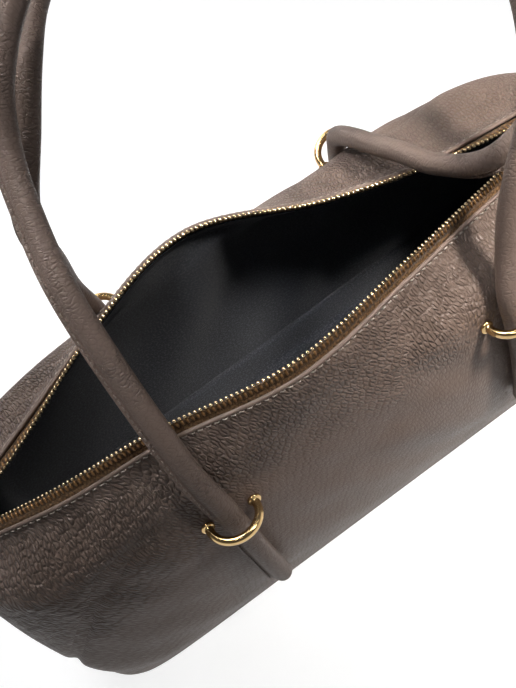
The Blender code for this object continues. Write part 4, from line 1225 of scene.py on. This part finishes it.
def wall_stitches(side, finish):
    """Row of stitches beside the turned edge, one pitch apart along the wall, each set a little aslant."""
    size = sizes()
    fine = np.linspace(-0.965, 0.965, 2401)

    def row_at(places):
        return on_wall(side, places, 1 - size.stitch_inset / wall_lengths(side, places))

    run = running_length(row_at(fine)[0])
    at = np.arange(size.stitch_pitch, run[-1] - size.stitch_pitch, size.stitch_pitch)
    starts, facing = row_at(np.interp(at, run, fine))
    ends, _ = row_at(np.interp(at + size.stitch_pitch * WALL_STITCH, run, fine))
    aslant = np.cross(unit(ends - starts), facing) * 0.00022 * side
    lifted = size.fold_puff * 0.3 * facing
    return bent_stitches(f"{SIDE_NAMES[side]}_mouth_stitches", starts + aslant + lifted,
                         ends - aslant + lifted, facing, size.thread, finish)


# Rings

# Ring's leg: distance out of the wall and radius, with the collar as a wider step
LEG = ((-0.0040, 0.0014), (-0.0004, 0.0014), (0.0003, 0.0015), (0.00035, 0.0030), (0.0006, 0.0034),
       (0.0012, 0.00355), (0.0017, 0.0034), (0.0020, 0.0030), (0.0021, 0.0024), (0.0024, RING_WIRE / 2),
       (RING_LEG, RING_WIRE / 2))


def make_ring(side, end, finish):
    """One bar carried along its path: leg, half circle, leg. The collars are wider steps of its radius."""
    point, along, out, up = ring_frame(side, end)
    wire = RING_WIRE / 2
    leg, leg_radii = np.array(LEG).T
    bow_way = around(np.linspace(math.pi, 0, 41)[1:-1], along, out)
    left = point - RING_FEET / 2 * along + leg[:, None] * out
    bow = point + RING_LEG * out + RING_FEET / 2 * bow_way
    right = point + RING_FEET / 2 * along + leg[::-1, None] * out
    centers = np.concatenate([left, bow, right])
    radii = np.concatenate([leg_radii, np.full(len(bow), wire), leg_radii[::-1]])
    side_way = np.concatenate([0 * left + along, -bow_way, 0 * right - along])
    rings = centers[:, None] + radii[:, None, None] * around(np.arange(24) * math.pi / 12, side_way, up)
    chart = ring_chart(centers, np.linspace(0, 2 * math.pi * wire, 25))
    return tube_piece(f"ring_{SIDE_NAMES[side]}_{END_NAMES[end]}", rings, chart, finish)


# Handles

def tail_path(side, end):
    """The handle's end, from its tip up the wall to the middle of the ring: the wall's section there, moved
    out by the tube's radius."""
    _, grid, *_ = wall(side)
    at = end * RING_SPACING / 2
    columns = np.swapaxes(grid, 0, 1)
    index = np.clip((columns[..., 0] <= at).sum(axis=1) - 1, 0, columns.shape[1] - 2)
    row = np.arange(len(columns))
    low, high = columns[row, index], columns[row, index + 1]
    share = ((at - low[:, 0]) / (high[:, 0] - low[:, 0]))[:, None]
    section = (low * (1 - share) + high * share)[:, 1:]
    ways = unit(np.gradient(section, axis=0))
    outs = np.column_stack([side * ways[:, 1], -side * ways[:, 0]])
    centers = section + (TUBE_RADIUS + TUBE_SEAT) * outs
    start = ring_center(side, end)[0]
    below = centers[centers[:, 1] < start[2] - TUBE_RADIUS][::-1]
    down = np.concatenate([[start[1:]], below])
    line = read_along(running_length(down), down, np.linspace(0, TAIL_LENGTH - TUBE_RADIUS, 26))
    return np.insert(line[::-1], 0, at, axis=1)


def softened(path, step, width=0.0085, count=60):
    """Each column drawn through a bell of the given width, with both ends carried on by a point mirror."""
    shares = bell(np.arange(-count, count + 1) * step, width)
    before = 2 * path[:1] - path[count:0:-1]
    after = 2 * path[-1:] - path[-2:-count - 2:-1]
    padded = np.concatenate([before, path, after])
    shares = shares / shares.sum()
    return np.column_stack([np.convolve(numbers, shares, mode="valid") for numbers in padded.T])


def handle_path(side):
    """Whole handle: up one tail, through the ring and over the hinge, round the loop and down again, soft
    where it bends above the rings. Its seam is turned away from the loop's middle, and sideways on the
    tails."""
    left, right = hinge_point(side, LEFT), hinge_point(side, RIGHT)
    middle = (left + right) / 2
    turns = FRONT_HANDLE_TURNS if side == FRONT else BACK_HANDLE_TURNS
    loop = spline([left] + [middle + HANDLE_REACH * np.array(t) for t in turns] + [right], 700)
    tails = [tail_path(side, end) for end in (LEFT, RIGHT)]
    tops = [ring_center(side, end)[0] + RING_RISE * ring_center(side, end)[2] for end in (LEFT, RIGHT)]
    rough = np.concatenate([tails[0], [tops[0]], loop[::6], loop[-1:], [tops[1]], tails[1][::-1]])
    run = running_length(rough)
    keep = np.concatenate([[True], np.diff(run) > 1e-5])
    rough, run = rough[keep], run[keep]
    wanted = np.linspace(0, run[-1], 1100)
    path = read_along(run, rough, wanted)
    over_tail = np.minimum(wanted, run[-1] - wanted) - TAIL_LENGTH
    bend = bell(over_tail - 0.018, 0.018)[:, None]
    path = path * (1 - bend) + softened(path, wanted[1] - wanted[0]) * bend
    for _ in range(6):
        path[1:-1] = path[1:-1] * 0.5 + (path[:-2] + path[2:]) * 0.25
    ways = unit(np.gradient(path, axis=0))
    away = square_to(ways, path - loop.mean(axis=0))
    sideways = np.where(path[:, :1] < middle[0], -1.0, 1.0) * np.array([1.0, 0.0, 0.0])
    on_tail = 1 - ease((over_tail + 0.004) / 0.040)[:, None]
    return path, ways, unit(away * (1 - on_tail) + sideways * on_tail)


# Flange: how far out each point of its lips lies, and how thick the lips are there
FLANGE = ((0.10, 1.12), (0.45, 1.0), (0.85, 0.97), (0.97, 0.80), (1.0, 0.45))


def tube_rings(path, ways, seam, radii, flange_out, half_thick):
    """Sections along the path: an arc of the tube's radius, joined to two lips that stand out as the seam."""
    out_way = square_to(ways, seam)
    face_way = np.cross(ways, out_way)
    half = np.minimum(half_thick, radii * 0.55)[:, None]
    lead = np.arcsin(half / radii[:, None] * 0.999)
    first = lead + 0.22
    angles = first + (2 * math.pi - 2 * first) * np.linspace(0, 1, 30)
    arc = path[:, None] + radii[:, None, None] * around(angles, out_way, face_way)
    outs, lips = np.array(FLANGE).T
    reach = radii[:, None] * np.cos(lead) + outs * flange_out[:, None]
    middle = path[:, None] + reach[..., None] * out_way[:, None]
    thick = (half * lips)[..., None] * face_way[:, None]
    return np.concatenate([arc, middle - thick, (middle + thick)[:, ::-1]], axis=1)


def make_handle(side, finish):
    """Rolled tube along the handle's path, closed by domes: radius times the root of 1 - t squared. Its
    flange starts past the domes and is pressed flat inside the rings."""
    size = sizes()
    path, ways, seam = handle_path(side)
    dome = np.linspace(1, 0, 12)[:-1]
    dome_radii = TUBE_RADIUS * np.sqrt(np.clip(1 - (dome * 0.995) ** 2, 0, 1))
    start = path[0] - TUBE_RADIUS * dome[:, None] * ways[0]
    end = path[-1] + TUBE_RADIUS * dome[::-1, None] * ways[-1]
    centers = np.concatenate([start, path, end])
    ways, seams = (np.pad(field, ((len(dome), len(dome)), (0, 0)), mode="edge") for field in (ways, seam))
    run = running_length(centers)
    plump = 1 + 0.012 * np.sin(run / 0.017) * np.sin(run / 0.0113 + 1.0)
    radii = np.concatenate([dome_radii, np.full(len(path), TUBE_RADIUS), dome_radii[::-1]]) * plump
    from_tip = np.minimum(run, run[-1] - run)
    flange = size.flange_width * ease((from_tip - TUBE_RADIUS - 0.0022) / 0.0010)
    flange = np.maximum(flange, radii * 0.02)
    flange = np.where(np.abs(from_tip - TAIL_LENGTH) < 0.010, flange * 0.35, flange)
    flange = np.convolve(np.pad(flange, 3, mode="edge"), np.ones(7) / 7, mode="valid")
    rings = tube_rings(centers, ways, seams, radii, flange, size.flange_thickness / 2)
    girth = running_length(np.swapaxes(closed(rings), 0, 1)).T
    chart = np.stack([run[:, None] + 0 * girth, girth], axis=-1)
    piece = tube_piece(f"{SIDE_NAMES[side]}_handle_leather", rings, chart, finish)
    return piece, centers, ways, seams, radii, run


def seam_stitches(side, centers, ways, seams, radii, run, finish):
    """Stitches down both faces of the handle's seam, one pitch apart, with none inside the rings."""
    size = sizes()
    pitch = size.stitch_pitch * HANDLE_PITCH
    out_way = square_to(ways, seams)
    face_way = np.cross(ways, out_way)
    at = np.arange(0.012, run[-1] - 0.012, pitch)
    at = at[np.abs(np.minimum(at, run[-1] - at) - TAIL_LENGTH) > 0.014]

    def on_seam(distance, face):
        out = np.interp(distance, run, radii) + size.flange_width * 0.45
        return (read_along(run, centers, distance) + out[:, None] * unit(read_along(run, out_way, distance))
                + face * size.flange_thickness / 2 * unit(read_along(run, face_way, distance)))

    starts, ends = (np.concatenate([on_seam(places, 1), on_seam(places, -1)])
                    for places in (at, at + pitch * HANDLE_STITCH))
    facing = unit(read_along(run, face_way, at))
    return bent_stitches(f"{SIDE_NAMES[side]}_handle_stitches", starts, ends,
                         np.concatenate([facing, -facing]), size.thread * 0.8, finish)


# Operators: one for each group of pieces

class HANDBAG_OT_walls(bpy.types.Operator):
    """Leather walls and base, with the stitches along the mouth"""

    bl_idname = "handbag.walls"
    bl_label = "Leather Walls"

    def execute(self, context):
        for side in (FRONT, BACK):
            name = SIDE_NAMES[side]
            seat(make_wall(side, finish_of("Taupe Leather")), "bag", "taupe_leather", f"{name}_panel")
            seat(wall_stitches(side, finish_of("Taupe Thread")), "bag", "taupe_leather")
        for end in (LEFT, RIGHT):
            seat(make_end_welt(end, finish_of("Edge Paint")), "bag", "taupe_leather")
        seat(make_base(finish_of("Base Leather")), "bag", "base_leather", "base_panel")
        return {"FINISHED"}


class HANDBAG_OT_lining(bpy.types.Operator):
    """Cotton lining, slack behind the walls and over the board"""

    bl_idname = "handbag.lining"
    bl_label = "Cotton Lining"

    def execute(self, context):
        cotton = finish_of("Navy Cotton")
        for side in (FRONT, BACK):
            seat(make_lining_wall(side, cotton), "bag", "navy_cotton", f"{SIDE_NAMES[side]}_lining")
        seat(make_lining_floor(cotton), "bag", "navy_cotton", "base_lining")
        return {"FINISHED"}


class HANDBAG_OT_zip(bpy.types.Operator):
    """Zip tapes and rows of teeth"""

    bl_idname = "handbag.zip"
    bl_label = "Zip"

    def execute(self, context):
        for side in (FRONT, BACK):
            name = SIDE_NAMES[side]
            seat(make_tape(side, finish_of("Tan Tape")), "bag", "tan_tape", f"{name}_zip_tape")
            seat(make_teeth(side, finish_of("Tooth Gold")), "bag", "pale_gold", f"{name}_zip_teeth")
        return {"FINISHED"}


class HANDBAG_OT_rings(bpy.types.Operator):
    """Half rings with their collars"""

    bl_idname = "handbag.rings"
    bl_label = "Half Rings"

    def execute(self, context):
        for side in (FRONT, BACK):
            for end in (LEFT, RIGHT):
                node = f"half_ring_{SIDE_NAMES[side]}_{END_NAMES[end]}"
                seat(make_ring(side, end, finish_of("Pale Gold")), "bag", "pale_gold", node)
        return {"FINISHED"}


class HANDBAG_OT_handles(bpy.types.Operator):
    """Rolled handles with their tails and stitched seams"""

    bl_idname = "handbag.handles"
    bl_label = "Handles"

    def execute(self, context):
        for side in (FRONT, BACK):
            name = SIDE_NAMES[side]
            tube, *course = make_handle(side, finish_of("Handle Leather"))
            stitches = seam_stitches(side, *course, finish_of("Handle Thread"))
            hinge = (hinge_point(side, LEFT) + hinge_point(side, RIGHT)) / 2
            for piece in (tube, stitches):
                hinge[2] - 0.010
                hinge[2] + 0.007
                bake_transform(piece)
            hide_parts(f"{name}_handle", f"handle_end_{name}_left", f"handle_end_{name}_right")
        return {"FINISHED"}


class HANDBAG_OT_fittings(bpy.types.Operator):
    """Finishes of the slider, its pull, the stops, the board and the plates"""

    bl_idname = "handbag.fittings"
    bl_label = "Fittings"

    def execute(self, context):
        finishes = {
            "slider_body": "Pale Gold", "slider_pull": "Pale Gold", "zip_bottom_stop": "Pale Gold",
            "zip_top_stop_front": "Pale Gold", "zip_top_stop_back": "Pale Gold", "base_board": "Fibre Board",
        }
        for side in SIDE_NAMES.values():
            for end in END_NAMES.values():
                finishes[f"ring_plate_{side}_{end}"] = "Plate Steel"
        for node, finish in finishes.items():
            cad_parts[node].material_slots[0].material = finish_of(finish)
        return {"FINISHED"}


# Stage

CAMERA_PLACE = (-0.0514, -0.2274, 0.4969)
CAMERA_YAW = math.radians(7.3)
CAMERA_PITCH = math.radians(58.09)
CAMERA_ROLL = math.radians(-29.5)
CAMERA_LENS = 44.06


def make_camera():
    """Camera turned by yaw, then pitched down, then rolled about its own view."""
    yaw, pitch, roll = CAMERA_YAW, CAMERA_PITCH, CAMERA_ROLL
    ahead = Vector((math.sin(yaw) * math.cos(pitch), math.cos(yaw) * math.cos(pitch), -math.sin(pitch)))
    level = Vector((math.cos(yaw), -math.sin(yaw), 0.0))
    above = level.cross(ahead)
    right = level * math.cos(roll) + above * math.sin(roll)
    up = above * math.cos(roll) - level * math.sin(roll)
    turn = Matrix((right, up, -ahead)).transposed().to_4x4()
    data = bpy.data.cameras.new("camera")
    data.lens = CAMERA_LENS
    data.sensor_width = 36.0
    camera = bpy.data.objects.new("camera", data)
    camera.matrix_world = Matrix.Translation(Vector(CAMERA_PLACE)) @ turn
    bpy.context.scene.collection.objects.link(camera)
    bpy.context.scene.camera = camera


# Lamp: name, place, target, side of the box, watts, colour and spread in degrees
LAMPS = (("key", (0.57, -0.35, 0.94), (0.185, -0.055, 0.16), 0.15, 0.50, (1.0, 0.955, 0.90), 28),
         ("top", (0.34, 0.04, 1.20), (-0.06, 0.0, 0.10), 0.16, 1.3, (1.0, 1.0, 1.0), 180),
         ("mouth", (-0.24, -0.12, 1.16), (0.04, 0.05, 0.06), 0.10, 0.055, (0.96, 0.97, 1.0), 18),
         ("back_top", (-0.14, 0.50, 1.10), (-0.05, 0.08, 0.14), 0.30, 0.42, (1.0, 1.0, 1.0), 40),
         ("back", (-0.05, 0.90, 0.50), (0.02, 0.03, 0.12), 0.5, 2.6, (0.96, 0.97, 1.0), 180))


def add_lamp(name, place, target, size, watts, tint, spread):
    """Square soft box that faces its target. A narrow spread lights what it faces more than the rest."""
    data = bpy.data.lights.new(name, "AREA")
    data.shape = "SQUARE"
    data.size = size
    data.energy = watts
    data.color = tint
    data.spread = math.radians(spread)
    lamp = bpy.data.objects.new(name, data)
    way = Vector(target) - Vector(place)
    lamp.matrix_world = Matrix.Translation(Vector(place)) @ way.to_track_quat("-Z", "Y").to_matrix().to_4x4()
    bpy.context.scene.collection.objects.link(lamp)


# Brightness of the floor to the camera and in a gloss, and of the even light from all round
FLOOR_GLOW = (0.84, 0.84, 0.84)
FLOOR_GLOSS = (0.62, 0.62, 0.62)
AMBIENT = 0.05


def make_floor():
    """Pale round floor, flat and wide enough for every view. It glows to the camera and in a gloss, but
    lights nothing."""
    turns = np.arange(64) * math.pi / 32
    reach = np.array([0.02, 0.5, 1.5, 4.0, 9.0])[:, None]
    top = stack(reach * np.cos(turns), reach * np.sin(turns), -0.0002)
    rings = np.concatenate([top, top[::-1] - [0.0, 0.0, 0.02]])
    chart = closed(rings)[..., :2]
    tint = colours().floor
    paint = Finish("Pale Floor", tint)
    grain = paint.noise(paint.object_place(), 30.0, 3.0)
    base = paint.blend(grain * 0.05, tint, darker(tint, 0.1))
    seen = paint.one_of("Is Camera Ray").high(paint.one_of("Is Transmission Ray"))
    glow = paint.blend(seen, BLACK, FLOOR_GLOW)
    glow = paint.blend(paint.one_of("Is Glossy Ray"), glow, FLOOR_GLOSS)
    paint.done(base_color=base, roughness=0.8, emission_color=glow, emission_strength=1.0)
    floor = tube_piece("floor", rings, chart, paint.made)


def make_world():
    """White to the camera, white below and dim above to a gloss, and a low even light on everything."""
    air = Nodes(bpy.data.worlds.new("studio"))
    back = air.tree.nodes["Background"]
    height = air.parts(air.add("ShaderNodeTexCoord", output="Generated"))[2]
    camera, gloss = air.one_of("Is Camera Ray"), air.one_of("Is Glossy Ray")
    glossy = gloss * (1 - height.between(-0.02, 0.40) * 0.92)
    back.inputs["Color"].default_value = (1.0, 1.0, 1.0, 1.0)
    clear = camera.high(air.one_of("Is Transmission Ray"))
    air.put(back.inputs["Strength"], clear + glossy + (1 - clear.high(gloss)) * AMBIENT)
    return air.made


class HANDBAG_OT_stage(bpy.types.Operator):
    """Camera, soft lamps, pale floor and white world"""

    bl_idname = "handbag.stage"
    bl_label = "Stage"

    def execute(self, context):
        make_camera()
        make_floor()
        for lamp in LAMPS:
            add_lamp(*lamp)
        context.scene.world = make_world()
        context.scene.view_settings.view_transform = "Standard"
        return {"FINISHED"}


PIECE_OPERATORS = (HANDBAG_OT_walls, HANDBAG_OT_lining, HANDBAG_OT_zip, HANDBAG_OT_rings, HANDBAG_OT_handles,
                   HANDBAG_OT_fittings, HANDBAG_OT_stage)


class HANDBAG_PT_panel(bpy.types.Panel):
    """Sizes, colours and pieces of the handbag"""

    bl_idname = "HANDBAG_PT_panel"
    bl_label = "Handbag"
    bl_space_type = "VIEW_3D"
    bl_region_type = "UI"
    bl_category = "Handbag"

    def draw(self, context):
        for group in (context.scene.handbag_sizes, context.scene.handbag_colours):
            box = self.layout.box()
            for name in group.__annotations__:
                box.prop(group, name)
        for operator in PIECE_OPERATORS:
            self.layout.operator(operator.bl_idname)


CLASSES = (BagSizes, BagColours, *PIECE_OPERATORS, HANDBAG_PT_panel)


def register():
    for item in CLASSES:
        bpy.utils.register_class(item)
    bpy.types.Scene.handbag_sizes = PointerProperty(type=BagSizes)
    bpy.types.Scene.handbag_colours = PointerProperty(type=BagColours)


def unregister():
    del bpy.types.Scene.handbag_sizes
    del bpy.types.Scene.handbag_colours
    for item in reversed(CLASSES):
        bpy.utils.unregister_class(item)


def main():
    register()
    bpy.ops.handbag.walls()
    bpy.ops.handbag.lining()
    bpy.ops.handbag.zip()
    bpy.ops.handbag.rings()
    bpy.ops.handbag.handles()
    bpy.ops.handbag.fittings()
    bpy.ops.handbag.stage()


if __name__ == "__main__":
    main()
